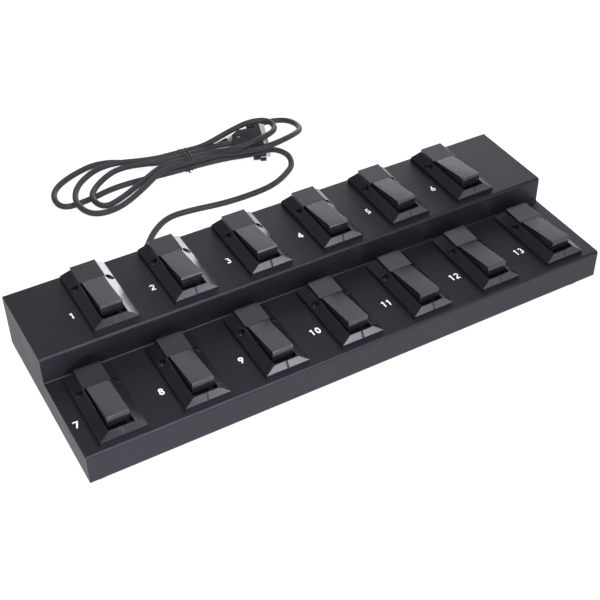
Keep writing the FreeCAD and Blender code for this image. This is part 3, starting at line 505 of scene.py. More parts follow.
def copy_at(first, name, number, material, body, *nodes):
    """One more piece with the first one's mesh, at the pedal of that number."""
    piece = scene_object(f"{name}_{number:02d}", first)
    piece.location = base_place(number)
    return finish_piece(piece, body, material, *nodes)


# Pieces


class FOOTSWITCH_OT_housing(bpy.types.Operator):
    """Finish the folded housing, its bottom plate and what lies inside"""
    bl_idname = "footswitch.housing"
    bl_label = "Housing"

    def execute(self, context):
        sizes = context.scene.foot_switch_sizes
        coat = powder_coat()
        finish_node("housing", coat, sizes.bend_round, 40)
        finish_node("bottom_plate", coat)
        board = surface("board_laminate", (0.02, 0.13, 0.05), rough=(0.3, 0.4), grain=700)
        zinc = surface("bright_zinc", (0.62, 0.62, 0.62), rough=(0.22, 0.34), metallic=1.0)
        case = surface("switch_case", (0.04, 0.04, 0.045))
        ribbon = surface("ribbon_jacket", (0.40, 0.40, 0.39), rough=(0.45, 0.55), grain=600,
                         stretch=(4, 0.1, 1))
        for name, material in (
            ("board_front", board), ("board_rear", board), ("board_standoffs", zinc),
            ("board_screws", zinc), ("hinge_pins", zinc), ("switches", case),
            ("link_ribbon", ribbon), ("inner_cord", cord_jacket()),
        ):
            finish_node(name, material, 0.00015)
        return {"FINISHED"}


class FOOTSWITCH_OT_feet(bpy.types.Operator):
    """Make the four domed feet"""
    bl_idname = "footswitch.feet"
    bl_label = "Feet"

    def execute(self, context):
        mesh = bmesh.new()
        dome = [(0, 0), (0, 5.6), (0.15, 6.9), (0.6, 8.3), (1.4, 9.3), (2.4, 9.8), (3.4, 9.97),
                (4, 9.97), (4, 0)]
        for x, y in FEET:
            add_lathe(mesh, dome, Matrix.Translation((x, y, 0)), 40)
        feet = loose_object("domed_feet", mesh)
        smooth(feet.data)
        material = surface("foot_rubber", (0.33, 0.33, 0.32), rough=(0.25, 0.4), grain=500)
        finish_piece(feet, CHASSIS, material, "rubber_feet")
        return {"FINISHED"}


def base_mesh(recess_radius, edge_round):
    """The moulded base with its slot, hinge block and round screw recesses."""
    half, rim = BASE_HALF_WIDTH, RIM_HALF_WIDTH
    one_side = {
        "a": (half, 0, 0), "b": (half, BASE_LENGTH, 0),
        "c": (half, 0, SKIRT_TOP), "d": (half, BASE_LENGTH, SKIRT_TOP),
        "e": (rim, RIM_FRONT, RIM_TOP), "f": (rim, SEAM, RIM_TOP),
        "g": (rim, BLOCK_REAR, RIM_TOP), "h": (rim, RIM_REAR, RIM_TOP),
        "i": (rim, SEAM, BLOCK_FRONT_TOP), "j": (rim, BLOCK_REAR, BLOCK_REAR_TOP),
    }
    corners = {
        key + hand: (side * x, y, z)
        for hand, side in (("l", -1), ("r", 1)) for key, (x, y, z) in one_side.items()
    }
    faces = [
        "al bl br ar", "al ar cr cl", "br bl dl dr", "al cl dl bl", "ar br dr cr",
        "cl cr er el", "dr dl hl hr", "cl el fl gl hl dl", "cr dr hr gr fr er",
        "el er fr fl", "gl gr hr hl", "fl fr ir il", "il ir jr jl", "gr gl jl jr",
        "fl il jl gl", "fr gr jr ir",
    ]
    piece = loose_object("moulded_base", shaped(add_polyhedron, corners, faces))
    slot, window = SLOT_HALF_WIDTH, WINDOW_HALF
    cut_away(piece, [
        shaped(add_box, (-slot, SLOT_FRONT, FLOOR_TOP), (slot, SEAM, ABOVE_BASE)),
        shaped(add_box, (-slot, SEAM - 2 * CUT_OVER, FLOOR_TOP), (slot, CHAMBER_REAR, CHAMBER_TOP)),
        shaped(add_box, (-window, STEM_PLACE - window, -CUT_OVER),
               (window, STEM_PLACE + window, FLOOR_TOP + CUT_OVER)),
        shaped(add_rods, SCREW_PLACES, recess_radius / MM, SCREW_SEAT, ABOVE_BASE),
        shaped(add_rods, SCREW_PLACES, SCREW_HOLE_RADIUS, -CUT_OVER, SCREW_SEAT + CUT_OVER, 24),
        shaped(add_prism, GATE_OUTLINE, -GATE_HALF_WIDTH, GATE_HALF_WIDTH),
        shaped(add_rods, [EJECTOR_PLACE], EJECTOR_RADIUS, BLOCK_FRONT_TOP - EJECTOR_DEPTH,
               ABOVE_BASE, 28),
    ])
    soften(piece, edge_round)
    data = taken_mesh(piece)
    for face in data.polygons:
        place = face.center / MM
        on_front = place.y < SLOT_FRONT and SKIRT_TOP < place.z < RIM_TOP
        if on_front and abs(place.x) < GATE_HALF_WIDTH + 0.1:
            face.material_index = 1
    return data


class FOOTSWITCH_OT_bases(bpy.types.Operator):
    """Make the moulded base under each pedal"""
    bl_idname = "footswitch.bases"
    bl_label = "Bases"

    def execute(self, context):
        sizes = context.scene.foot_switch_sizes
        first = base_mesh(sizes.recess_radius, sizes.edge_round)
        first.materials.append(black_moulding())
        first.materials.append(gate_mark())
        for number in PEDALS:
            copy_at(first, "base_moulding", number, None, CHASSIS, f"pedal_base_{number:02d}")
        return {"FINISHED"}


def pedal_mesh(edge_round):
    """The hollow pedal with its knuckle, heel, spring seat and stem."""
    half, inner_half = PEDAL_HALF_WIDTH, PEDAL_HALF_WIDTH - PEDAL_WALL
    piece = loose_object("moulded_pedal", shaped(add_prism, PEDAL_OUTLINE, -half, half))
    across = shift(0, *PIN_PLACE) @ Matrix.Rotation(math.pi / 2, 4, "Y")
    bore = [(-20, PIN_BORE_RADIUS), (20, PIN_BORE_RADIUS)]
    cut_away(piece, [
        shaped(add_prism, HOLLOW_OUTLINE, -inner_half, inner_half),
        shaped(add_lathe, bore, across, 24),
    ])
    soften(piece, edge_round * 1.2)
    data = taken_mesh(piece)
    joined = bmesh.new()
    joined.from_mesh(data)
    add_box(joined, (-STEM_HALF_WIDTH, STEM_PLACE - STEM_HALF_LENGTH, -1),
            (STEM_HALF_WIDTH, STEM_PLACE + STEM_HALF_LENGTH, STEM_TOP))
    add_lathe(joined, SEAT_PROFILE, shift(0, SPRING_PLACE, 0), 32)
    joined.to_mesh(data)
    joined.free()
    return data


class FOOTSWITCH_OT_pedals(bpy.types.Operator):
    """Make the pedals that tilt on their pins"""
    bl_idname = "footswitch.pedals"
    bl_label = "Pedals"

    def execute(self, context):
        first = pedal_mesh(context.scene.foot_switch_sizes.edge_round)
        material = black_moulding()
        for number in PEDALS:
            node = f"pedal_{number:02d}"
            copy_at(first, "tread", number, material, node, node)
        return {"FINISHED"}


class FOOTSWITCH_OT_springs(bpy.types.Operator):
    """Wind the return spring under each pedal"""
    bl_idname = "footswitch.springs"
    bl_label = "Springs"

    def execute(self, context):
        steps = COIL_TURNS * COIL_STEPS
        rise = SPRING_HIGH - SPRING_LOW - 2 * COIL_WIRE_RADIUS
        points = []
        for step in range(steps + 1):
            angle = 2 * math.pi * step / COIL_STEPS
            points.append(MM * Vector((
                COIL_RADIUS * math.cos(angle),
                SPRING_PLACE + COIL_RADIUS * math.sin(angle),
                SPRING_LOW + COIL_WIRE_RADIUS + rise * step / steps,
            )))
        coil = shaped(add_tube, points, COIL_WIRE_RADIUS * MM, 8)
        first = taken_mesh(loose_object("coil", coil))
        smooth(first)
        material = surface("spring_wire", (0.5, 0.5, 0.51), rough=(0.22, 0.32), metallic=1.0)
        for number in PEDALS:
            name = f"return_spring_{number:02d}"
            spring = copy_at(first, "spring_coil", number, material, CHASSIS, name)
            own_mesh(spring)
        return {"FINISHED"}


# Cross-head screw, in millimetres from its seat; the head's profile is of height and radius
SCREW_HEAD = (
    (0, 1.5), (0, 2.75), (0.25, 2.9), (1.2, 2.88), (1.75, 2.6), (2.1, 1.9), (2.2, 0.9), (2.2, 0),
)
SCREW_TIP = -9.0
THREAD_START = -8.6
THREAD_PITCH = 0.65
THREAD_TURNS = 13
THREAD_ROOT = 1.2
THREAD_CREST = 1.48
CROSS_REACH = 1.7
CROSS_HALF_WIDTH = 0.35
CROSS_FLOOR = 1.1
PLATE_SCREW_SHORTER = 0.72
# In radians, so that no two cross recesses stand alike
TURN_PER_PEDAL = 0.7
TURN_PER_SCREW = 1.9
PLATE_SCREW_TURN = 0.918


def screw_mesh():
    """A pan-head screw with a cross recess, its seat at z 0 and its shank below."""
    profile = [(SCREW_TIP, 0), (SCREW_TIP, THREAD_ROOT / 2)]
    for ridge in range(THREAD_TURNS):
        depth = THREAD_START + ridge * THREAD_PITCH
        profile += [(depth, THREAD_ROOT), (depth + 0.3, THREAD_CREST)]
    profile += [(-0.1, THREAD_ROOT), *SCREW_HEAD]
    piece = loose_object("cross_screw", shaped(add_lathe, profile, Matrix.Identity(4), 28))
    arms = ((CROSS_REACH, CROSS_HALF_WIDTH), (CROSS_HALF_WIDTH, CROSS_REACH))
    cut_away(piece, [shaped(add_box, (-x, -y, CROSS_FLOOR), (x, y, 4)) for x, y in arms])
    return taken_mesh(piece)


def scatter(name, source, placements):
    """One mesh made of the source's copies at each placement."""
    mesh = bmesh.new()
    for placement in placements:
        part = source.copy()
        part.transform(placement)
        mesh.from_mesh(part)
        bpy.data.meshes.remove(part)
    return loose_object(name, mesh)


class FOOTSWITCH_OT_screws(bpy.types.Operator):
    """Make the cross-head screws of the bases and of the bottom plate"""
    bl_idname = "footswitch.screws"
    bl_label = "Screws"

    def execute(self, context):
        source = screw_mesh()
        black = surface("black_oxide", (0.03, 0.03, 0.033), rough=(0.3, 0.42), metallic=0.6)
        placements = []
        for number in PEDALS:
            for index, (x, y) in enumerate(SCREW_PLACES):
                turn = Matrix.Rotation(TURN_PER_PEDAL * number + TURN_PER_SCREW * index, 4, "Z")
                placements.append(
                    Matrix.Translation(base_place(number)) @ shift(x, y, SCREW_SEAT) @ turn
                )
        finish_piece(scatter("base_screw_heads", source, placements), CHASSIS, black, "base_screws")
        placements = []
        upside_down = Matrix.Rotation(math.pi, 4, "X")
        shorter = Matrix.Diagonal((1, 1, PLATE_SCREW_SHORTER, 1))
        for index, x in enumerate(PLATE_SCREW_XS):
            for side in (-1, 1):
                place = Matrix.Translation((x, side * PLATE_SCREW_Y, PLATE_UNDERSIDE))
                turn = Matrix.Rotation(index + side * PLATE_SCREW_TURN, 4, "Z")
                placements.append(place @ upside_down @ turn @ shorter)
        finish_piece(scatter("plate_screw_heads", source, placements), CHASSIS, black, "plate_screws")
        return {"FINISHED"}


def arc(centre, radius, start, stop, steps=18):
    """Points on an ellipse's arc, its angles in degrees."""
    x, y = centre
    across, up = radius if isinstance(radius, tuple) else (radius, radius)
    angles = [math.radians(start + (stop - start) * step / steps) for step in range(steps + 1)]
    return [(x + across * math.cos(angle), y + up * math.sin(angle)) for angle in angles]


# The middle lines of each digit's strokes, one unit high
DIGITS = {
    "0": [arc((0.30, 0.5), (0.21, 0.42), 0, 360, 36)],
    "1": [[(0.06, 0.78), (0.26, 0.90)], [(0.26, 1.0), (0.26, 0.0)]],
    "2": [arc((0.29, 0.70), 0.21, 165, -38) + [(0.08, 0.08)], [(0.02, 0.08), (0.56, 0.08)]],
    "3": [arc((0.26, 0.73), 0.19, 150, -80), arc((0.26, 0.30), 0.22, 85, -150)],
    "4": [[(0.42, 0.0), (0.42, 1.0)], [(0.44, 0.95), (0.05, 0.31)], [(0.0, 0.28), (0.60, 0.28)]],
    "5": [[(0.50, 0.92), (0.18, 0.92), (0.14, 0.54)] + arc((0.24, 0.32), 0.23, 115, -140)],
    "6": [arc((0.29, 0.31), 0.22, 0, 360, 28), [(0.10, 0.40), (0.40, 1.0)]],
    "7": [[(0.02, 0.92), (0.52, 0.92), (0.20, 0.0)]],
    "8": [arc((0.29, 0.73), 0.18, 0, 360, 26), arc((0.29, 0.30), 0.22, 0, 360, 28)],
    "9": [arc((0.29, 0.69), 0.22, 0, 360, 28), [(0.48, 0.60), (0.18, 0.0)]],
}
DIGIT_WIDTH = 0.58
DIGIT_GAP = 0.10
STROKE = 0.18
# In metres: how far a stroke lies over the last, the ink over the panel, and a number's middle
# from the middle of its base's front edge
INK_LAYER = 0.00002
INK_HEIGHT = 0.00006
NUMBER_BACK = 0.0364
NUMBER_ASIDE = {1: 0.0333, 2: 0.0352}


def add_stroke(mesh, points, height, layer):
    """A flat ribbon along the points, its sides mitred at each turn and its layers kept apart."""
    points = [Vector((*point, 0)) for point in points]
    steps = [(end - start).normalized() for start, end in zip(points, points[1:])]
    edges = []
    for index, point in enumerate(points):
        turn = steps[max(index, 1) - 1] + steps[min(index, len(steps) - 1)]
        side = Vector((-turn.y, turn.x, 0)).normalized() * STROKE / max(1.0, turn.length)
        lift = Vector((0, 0, layer * INK_LAYER))
        edges.append([mesh.verts.new((point + offset) * height + lift) for offset in (side, -side)])
    for (left, right), (next_left, next_right) in zip(edges, edges[1:]):
        mesh.faces.new([left, right, next_right, next_left])


class FOOTSWITCH_OT_numbers(bpy.types.Operator):
    """Print the numbers 1 to 13 beside the pedals"""
    bl_idname = "footswitch.numbers"
    bl_label = "Numbers"

    def execute(self, context):
        height = context.scene.foot_switch_sizes.number_height
        ink = surface("number_ink", colours().print_white, rough=(0.5, 0.6), tint=0.02, grain=3000,
                      bump=0.1)
        for number in PEDALS:
            digits = str(number)
            width = len(digits) * (DIGIT_WIDTH + DIGIT_GAP) - DIGIT_GAP
            mesh = bmesh.new()
            for index, digit in enumerate(digits):
                start = index * (DIGIT_WIDTH + DIGIT_GAP) - width / 2
                for layer, stroke in enumerate(DIGITS[digit]):
                    add_stroke(mesh, [(start + x, y - 0.5) for x, y in stroke], height, layer)
            label = loose_object(f"number_{number:02d}", mesh)
            aside = NUMBER_ASIDE[len(digits)]
            label.location = base_place(number) + Vector((-aside, NUMBER_BACK, INK_HEIGHT))
            finish_piece(label, CHASSIS, ink)
        return {"FINISHED"}


# Strain relief, in millimetres: profiles of the distance behind the rear wall and the radius
RELIEF_BORE = 3.65
RELIEF_START = -3.0
RELIEF_END = 24.0
RELIEF_COLLAR = (
    (-3, 6.7), (-2.7, 7), (-1.5, 7), (-1.5, 5.5), (0, 5.5), (0, 7.2), (0.4, 7.5), (2.4, 7.5),
    (3, 7.0), (3.2, 5.6),
)
RIBS = 6
RIB_START = 4.2
RIB_PITCH = 3.3
RIB_RADIUS = 5.6
RIB_TAPER = 0.17
RIB_DEPTH = 1.0


class FOOTSWITCH_OT_strain_relief(bpy.types.Operator):
    """Turn the ribbed strain relief in the rear wall"""
    bl_idname = "footswitch.strain_relief"
    bl_label = "Strain relief"

    def execute(self, context):
        profile = [(RELIEF_START, RELIEF_BORE), *RELIEF_COLLAR]
        for rib in range(RIBS):
            start = RIB_START + rib * RIB_PITCH
            radius = RIB_RADIUS - rib * RIB_TAPER
            profile += [(start, radius), (start + 2.0, radius - 0.12),
                        (start + 2.3, radius - RIB_DEPTH), (start + 3.0, radius - RIB_DEPTH)]
        profile += [(RELIEF_END, 4.2), (RELIEF_END, RELIEF_BORE), (RELIEF_START, RELIEF_BORE)]
        rear = Matrix.Translation((CORD_EXIT.x, REAR_WALL, CORD_EXIT.z))
        mesh = shaped(add_lathe, profile, rear @ Matrix.Rotation(-math.pi / 2, 4, "X"), 40)
        sleeve = loose_object("strain_relief", mesh)
        material = surface("relief_rubber", (0.02, 0.02, 0.021), rough=(0.45, 0.6), grain=1200)
        finish_piece(sleeve, CHASSIS, material, "cable_gland")
        return {"FINISHED"}


# Cord


def heading_vector(degrees):
    """A level unit vector, turned from x towards y."""
    return Vector((math.cos(math.radians(degrees)), math.sin(math.radians(degrees)), 0))


# From the strain relief along the floor to the bundle
LEAD = [
    (-0.1900, 0.1335, 0.0220), (-0.1900, 0.1510, 0.0215), (-0.1800, 0.1650, 0.0155),
    (-0.1620, 0.1700, 0.0080), (-0.1380, 0.1690, CORD_REST), (-0.1160, 0.1820, CORD_REST),
    (-0.0960, 0.2080, CORD_REST), (-0.0690, 0.2265, CORD_REST), (-0.0380, 0.2250, CORD_REST),
    (0.0030, 0.2175, CORD_REST), (0.0450, 0.2175, CORD_REST), (0.0752, 0.2224, CORD_REST),
]

# Over the plug and into the tie: a place and its heading in degrees
WAY_IN = [
    ((0.0975, 0.2358, CORD_REST), 31), ((0.1139, 0.2534, 0.0046), 66),
    ((0.1129, 0.2701, 0.0090), 130), ((0.0898, 0.2750, 0.0172), 174),
    ((0.0606, 0.2906, 0.0092), 153),
]

# How far the cord runs straight before it enters the plug's cover
STRAIGHT_AT_PLUG = 0.008

# Each pass through the tie: how far back and how high, in layers of cord
PASSES = [(-1.65, 0), (1.8, 0), (-1.65, 1), (1.8, 1), (-0.54, 1), (0.62, 1)]

# Each loop: its tip from the tie, half width, rise towards the back, and three heights in layers
LOOPS = [
    ((-0.171, 0.0035), 0.030, 0.023, (0, 0, 0)),
    ((0.158, 0.0035), 0.039, -0.0135, (0.2, 1.0, 3.25)),
    ((-0.151, -0.0375), 0.039, 0.019, (1, 1, 1)),
    ((0.119, -0.0095), 0.024, -0.008, (3.1, 3.4, 3.7)),
    ((-0.132, -0.034), 0.023, 0.0175, (1.05, 1, 1)),
]


def pass_node(number, side, leaving):
    """Where a pass goes through the tie's left or right end, and its heading there."""
    along = heading_vector(TIE_HEADING)
    across = Vector((-along.y, along.x, 0))
    back, layer = PASSES[number]
    up = Vector((0, 0, CORD_REST + TIE_WIRE + layer * CORD_LAYER))
    place = TIE_PLACE + along * (side * TIE_HALF) + across * (back * CORD_LAYER) + up
    return place, along * (side if leaving else -side)


def loop_nodes(number):
    """A loop's nodes: out of the tie, a quarter round, its tip, and back."""
    tip, half_width, rise, layers = LOOPS[number]
    side = 1 if tip[0] > 0 else -1
    reach = Vector((*tip, 0))
    outward = reach.normalized()
    rearward = Vector((-outward.y, outward.x, 0)) * side

    def place_at(part):
        out = math.sin(math.pi * part)
        rear = side * half_width * math.sin(2 * math.pi * part) + rise * math.sin(math.pi * out)
        return TIE_PLACE + reach * out + rearward * rear

    nodes = [pass_node(number, side, True)]
    nudge = 1e-4
    for step, layer in enumerate(layers, 1):
        part = step / 4
        heading = (place_at(part + nudge) - place_at(part - nudge)).normalized()
        nodes.append((place_at(part) + Vector((0, 0, CORD_REST + layer * CORD_LAYER)), heading))
    return slope_headings(nodes + [pass_node(number + 1, side, False)])


def slope_headings(nodes):
    """The inner nodes' headings follow the height between their neighbours."""
    sloped = [nodes[0]]
    for (before, _), (node, heading), (after, _) in zip(nodes, nodes[1:], nodes[2:]):
        run = (node - before).length + (after - node).length
        sloped.append((node, (heading + Vector((0, 0, (after.z - before.z) / run))).normalized()))
    return sloped + [nodes[-1]]


def turning_points(start, heading, end, end_heading):
    """The two corners of the cord's line between nodes, each on its node's heading."""
    span = end - start
    both = heading + end_heading
    spread = 1 - heading.dot(end_heading)
    if spread < 1e-9:
        reach = span.dot(span) / (4 * span.dot(end_heading))
    else:
        along = span.dot(both)
        reach = (math.sqrt(along * along + 2 * spread * span.dot(span)) - along) / (2 * spread)
    return [start + heading * reach, end - end_heading * reach]


def bundle_route():
    """The cord's points from the plug's side through the tie, round each loop, to the plug."""
    nodes = [(Vector(place), heading_vector(degrees)) for place, degrees in WAY_IN]
    nodes = slope_headings(nodes + [pass_node(0, 1, False)])
    for number in range(len(LOOPS)):
        nodes += loop_nodes(number)
    forward = (PLUG_FRAME.to_3x3() @ Vector((1, 0, 0))).normalized()
    hood_rear = PLUG_FRAME @ Vector((HOOD_REAR * MM, 0, 0))
    nodes.append(pass_node(len(LOOPS), 1, True))
    nodes.append((hood_rear - forward * STRAIGHT_AT_PLUG, forward))
    points = []
    for (start, heading), (end, end_heading) in zip(nodes, nodes[1:]):
        points += turning_points(start, heading, end, end_heading)
    return points + [hood_rear]


class FOOTSWITCH_OT_cord(bpy.types.Operator):
    """Lay the cord from the strain relief through the bundle to the plug"""
    bl_idname = "footswitch.cord"
    bl_label = "Cord"

    def execute(self, context):
        route = [Vector(place) for place in LEAD] + bundle_route()
        curve = bpy.data.curves.new("cord", "CURVE")
        curve.dimensions = "3D"
        spline = curve.splines.new("NURBS")
        spline.points.add(len(route) - 1)
        for point, place in zip(spline.points, route):
            point.co = (*place, 1)
        spline.order_u = 3
        spline.use_endpoint_u = True
        curve.resolution_u = 10
        curve.bevel_depth = CORD_RADIUS
        curve.bevel_resolution = 5
        curve.use_fill_caps = True
        cord = scene_object("cord", curve)
        finish_piece(cord, CHASSIS, cord_jacket(), "cord_lead", "cord_hank")
        return {"FINISHED"}


# Wire tie, in millimetres in the tie's own frame: x along the bundle, y across it, z up
TIE_WRAPS = (-4.2, -1.0, 3.6)
WRAP_SLANT = 1.6
WRAP_MIDDLE = (0.57, 8.8)
WRAP_HALF_WIDTH = 16.7
WRAP_HALF_HEIGHT = 8.1
WRAP_ROUNDNESS = 0.35
WRAP_STEPS = 64
# Each tail: the side that it wavers to, and how far it reaches to the front
TIE_TAILS = ((-1, 5), (1, 7))
TAIL_START = Vector((-3, -16, 3))
TAIL_STEPS = 6
TAIL_SWAY = 0.6
TAIL_TURN = 1.3
TAIL_RISE = 0.3


class FOOTSWITCH_OT_tie(bpy.types.Operator):
    """Wrap the wire tie round the bundle"""
    bl_idname = "footswitch.tie"
    bl_label = "Tie"

    def execute(self, context):
        turn = Matrix.Rotation(math.radians(TIE_HEADING), 4, "Z")
        frame_of = Matrix.Translation(TIE_PLACE) @ turn
        mesh = bmesh.new()
        for along in TIE_WRAPS:
            points = []
            for step in range(WRAP_STEPS):
                angle = 2 * math.pi * step / WRAP_STEPS
                right, up = (
                    math.copysign(abs(part) ** WRAP_ROUNDNESS, part)
                    for part in (math.cos(angle), math.sin(angle))
                )
                place = Vector((along + WRAP_SLANT * math.sin(angle),
                                WRAP_MIDDLE[0] + WRAP_HALF_WIDTH * right,
                                WRAP_MIDDLE[1] + WRAP_HALF_HEIGHT * up))
                points.append(frame_of @ (place * MM))
            add_tube(mesh, points, TIE_WIRE / 2, 8, closed=True)
        for side, reach in TIE_TAILS:
            tail = []
            for step in range(TAIL_STEPS + 1):
                sway = TAIL_SWAY * side * math.sin(step * TAIL_TURN)
                place = TAIL_START + Vector((sway, -step * reach / TAIL_STEPS, TAIL_RISE * step))
                tail.append(frame_of @ (place * MM))
            add_tube(mesh, tail, TIE_WIRE / 2, 8)
        tie = loose_object("wire_tie", mesh)
        material = surface("tie_coating", (0.02, 0.02, 0.021), grain=1500)
        finish_piece(tie, CHASSIS, material, "hank_tie")
        return {"FINISHED"}


# Plug, in millimetres in its own frame: x towards its face, y across it, z up
HOOD_HALF_HEIGHT = 8.0
HOOD_REAR = -39.0
HOOD_ROUNDING = 0.9
HOOD_OUTLINE = ((-1, -17), (-1, 17), (-30, 17), (HOOD_REAR, 8), (HOOD_REAR, -8), (-30, -17))
PARTING_OUTSIDE = (
    (-0.5, -17.5), (-0.5, 17.5), (-30.2, 17.5), (-39.5, 8.2), (-39.5, -8.2), (-30.2, -17.5),
)
PARTING_INSIDE = (
    (-1.5, -16.6), (-1.5, 16.6), (-29.8, 16.6), (-38.6, 7.8), (-38.6, -7.8), (-29.8, -16.6),
)
PARTING_HALF = 0.2
GRIP_RIBS = (-26, -23.5, -21, -18.5, -16)
GRIP_RIB_HALF_LENGTH = 11
COVER_SCREW_PLACE = (-31, 3)
COVER_SCREW_HOLE = 2.4
COVER_SCREW_SEAT = 6.6
# Profiles of (height, radius), each in its screw's own frame
COVER_SCREW_HEAD = ((6.5, 0), (6.5, 2.2), (7.3, 2.1), (7.6, 1.2), (7.6, 0))
THUMB_GRIP = ((-9, 0), (-9, 3.0), (-8.6, 3.8), (-0.5, 3.8), (-0.1, 3.3), (-0.1, 1.5))
THUMB_SHANK = ((-4, 0), (-4, 1.5), (7.2, 1.5), (7.2, 2.4), (9.0, 2.4), (9.0, 1.5))
THUMB_TIP = ((12.9, 1.2), (13, 0))
THUMB_THREAD = 9.2
THUMB_PITCH = 0.62
THUMB_TURNS = 6
THUMBSCREW_ASIDE = 31.75
EAR_REAR = -8.0
EAR_FRONT = -1.0
EAR_START = 16.5
FORK_START = 28.2
FORK_END = 34.4
FORK_INSIDE = 1.9
EAR_HALF_HEIGHT = 5.5
FLANGE = ((EAR_FRONT, -26.5, -3.5), (0.6, 26.5, 3.5))


def plug_piece(name, mesh, material, *nodes):
    """A piece drawn in the plug's own frame, set down where the plug lies."""
    piece = loose_object(name, mesh)
    piece.data.transform(PLUG_FRAME)
    return finish_piece(piece, CHASSIS, material, *nodes)


def hood_mesh():
    """The plug's cover with its parting line, its screw hole and its finger ribs."""
    half = HOOD_HALF_HEIGHT
    piece = loose_object("hood_shell", shaped(add_prism, HOOD_OUTLINE, -half, half, axis=2))
    parting = shaped(add_prism, PARTING_OUTSIDE, -PARTING_HALF, PARTING_HALF, axis=2)
    ring = loose_object("parting", parting)
    cut_away(ring, [shaped(add_prism, PARTING_INSIDE, -1, 1, axis=2)])
    groove = bmesh.new()
    groove.from_mesh(taken_mesh(ring))
    hole = shaped(add_rods, [COVER_SCREW_PLACE], COVER_SCREW_HOLE, COVER_SCREW_SEAT, half + 1, 32)
    cut_away(piece, [groove, hole])
    soften(piece, HOOD_ROUNDING * MM, 3, 30)
    joined = bmesh.new()
    joined.from_mesh(taken_mesh(piece))
    for along in GRIP_RIBS:
        add_box(joined, (along - 0.5, -GRIP_RIB_HALF_LENGTH, half - 0.1),
                (along + 0.5, GRIP_RIB_HALF_LENGTH, half + 0.3))
    return joined


class FOOTSWITCH_OT_plug(bpy.types.Operator):
    """Make the wide connector, its hood and its two thumbscrews"""
    bl_idname = "footswitch.plug"
    bl_label = "Plug"

    def execute(self, context):
        hood = surface("hood_moulding", (0.016, 0.016, 0.022), rough=(0.42, 0.55), grain=1600,
                       bump=0.3, specular=0.35, sheen=LILAC)
        tin = surface("tin_plate", (0.62, 0.60, 0.56), rough=(0.25, 0.38), metallic=1.0)
        gold = surface("gold_flash", (0.80, 0.58, 0.24), rough=(0.2, 0.3), metallic=1.0)
        nickel = surface("nickel", (0.72, 0.72, 0.70), rough=(0.4, 0.5), metallic=1.0)
        finish_node("plug_shell", tin)
        finish_node("plug_pins", gold, 0.00015)
        shell = hood_mesh()
        for side in (-1, 1):
            near, far = sorted((side * EAR_START, side * FORK_START))
            add_box(shell, (EAR_REAR, near, -EAR_HALF_HEIGHT), (EAR_FRONT, far, EAR_HALF_HEIGHT))
            near, far = sorted((side * FORK_START, side * FORK_END))
            for low, high in ((-EAR_HALF_HEIGHT, -FORK_INSIDE), (FORK_INSIDE, EAR_HALF_HEIGHT)):
                add_box(shell, (EAR_REAR, near, low), (EAR_FRONT, far, high))
        add_box(shell, *FLANGE)
        plug_piece("plug_cover", shell, hood, "plug_hood")
        screw = shaped(add_lathe, COVER_SCREW_HEAD, shift(*COVER_SCREW_PLACE, 0), 32)
        plug_piece("cover_screw", screw, nickel)
        forward = Matrix.Rotation(math.pi / 2, 4, "Y")
        thread = []
        for ridge in range(THUMB_TURNS):
            crest = THUMB_THREAD + ridge * THUMB_PITCH
            thread += [(crest, 1.5), (crest + 0.3, 1.25)]
        grips, screws = bmesh.new(), bmesh.new()
        for side in (-1, 1):
            place = shift(EAR_REAR, side * THUMBSCREW_ASIDE, 0) @ forward
            add_lathe(grips, THUMB_GRIP, place, 48, ribs=lambda turn: 1 if turn % 4 < 2 else 0.93)
            add_lathe(screws, [*THUMB_SHANK, *thread, *THUMB_TIP], place, 24)
        plug_piece("grips", grips, hood)
        plug_piece("thumbscrews", screws, nickel, "plug_thumbscrews")
        return {"FINISHED"}


class FOOTSWITCH_OT_sleeve(bpy.types.Operator):
    bl_idname = "footswitch.sleeve"
    bl_label = "Blank sleeve"

    def execute(self, context):
        cord = bpy.data.objects["cord"]
        bare = cord.data.copy()
        bare.bevel_depth = 0
        probe = scene_object("cord_line", bare)
        graph = context.evaluated_depsgraph_get()
        line = bpy.data.meshes.new_from_object(probe.evaluated_get(graph))
        points = [vertex.co.copy() for vertex in line.vertices]
        bpy.data.objects.remove(probe)
        middle = min(range(len(points)), key=lambda index: (points[index] - SLEEVE_PLACE).length)
        first = last = middle
        while (points[first] - points[middle]).length < SLEEVE_HALF:
            first -= 1
        while (points[last] - points[middle]).length < SLEEVE_HALF:
            last += 1
        mesh = shaped(add_tube, points[first:last + 1], CORD_RADIUS + SLEEVE_THICKNESS, 32)
        sleeve = loose_object("blank_sleeve", mesh)
        paper = surface("sleeve_paper", (0.80, 0.80, 0.78), rough=(0.5, 0.6), tint=0.03)
        finish_piece(sleeve, CHASSIS, paper)
        return {"FINISHED"}


# Stage

# Each lamp: its place, what it points at, and its width and height
LAMPS = {
    "softbox": ((1.5, 1.9, 0.36), (0, 0.1, 0.02), (2.2, 0.64)),
    "fill": ((0.80, -2.3, 0.42), (0, 0, 0.02), (0.5, 0.6)),
    "front": ((-0.08, -0.42, 0.50), (-0.08, -0.22, 0.0), (0.5, 0.3)),
    "bounce": ((-0.64, -0.60, 0.03), (-0.15, -0.11, 0.02), (0.6, 0.05)),
    "overhead": ((-0.7, -0.5, 2.2), (0, 0, 0), (1.0, 1.0)),
}
CAMERA_TARGET = Vector((0.0379, 0.04265, 0.004))
CAMERA_DISTANCE = 1.31724
CAMERA_AZIMUTH = math.radians(-30.491)
CAMERA_ELEVATION = math.radians(39.944)
CAMERA_ROLL = math.radians(0.344)
CAMERA_SHIFT = (-0.0388, -0.0430)
FLOOR_HALF = 80
FLOOR_DROP = 0.0002
# The floor lights the object as one grey, and is seen as a glow over a darker grey that shows shadows
FLOOR_LIGHT = 0.85
FLOOR_SHADOW = 0.30
FLOOR_GLOW = 0.86
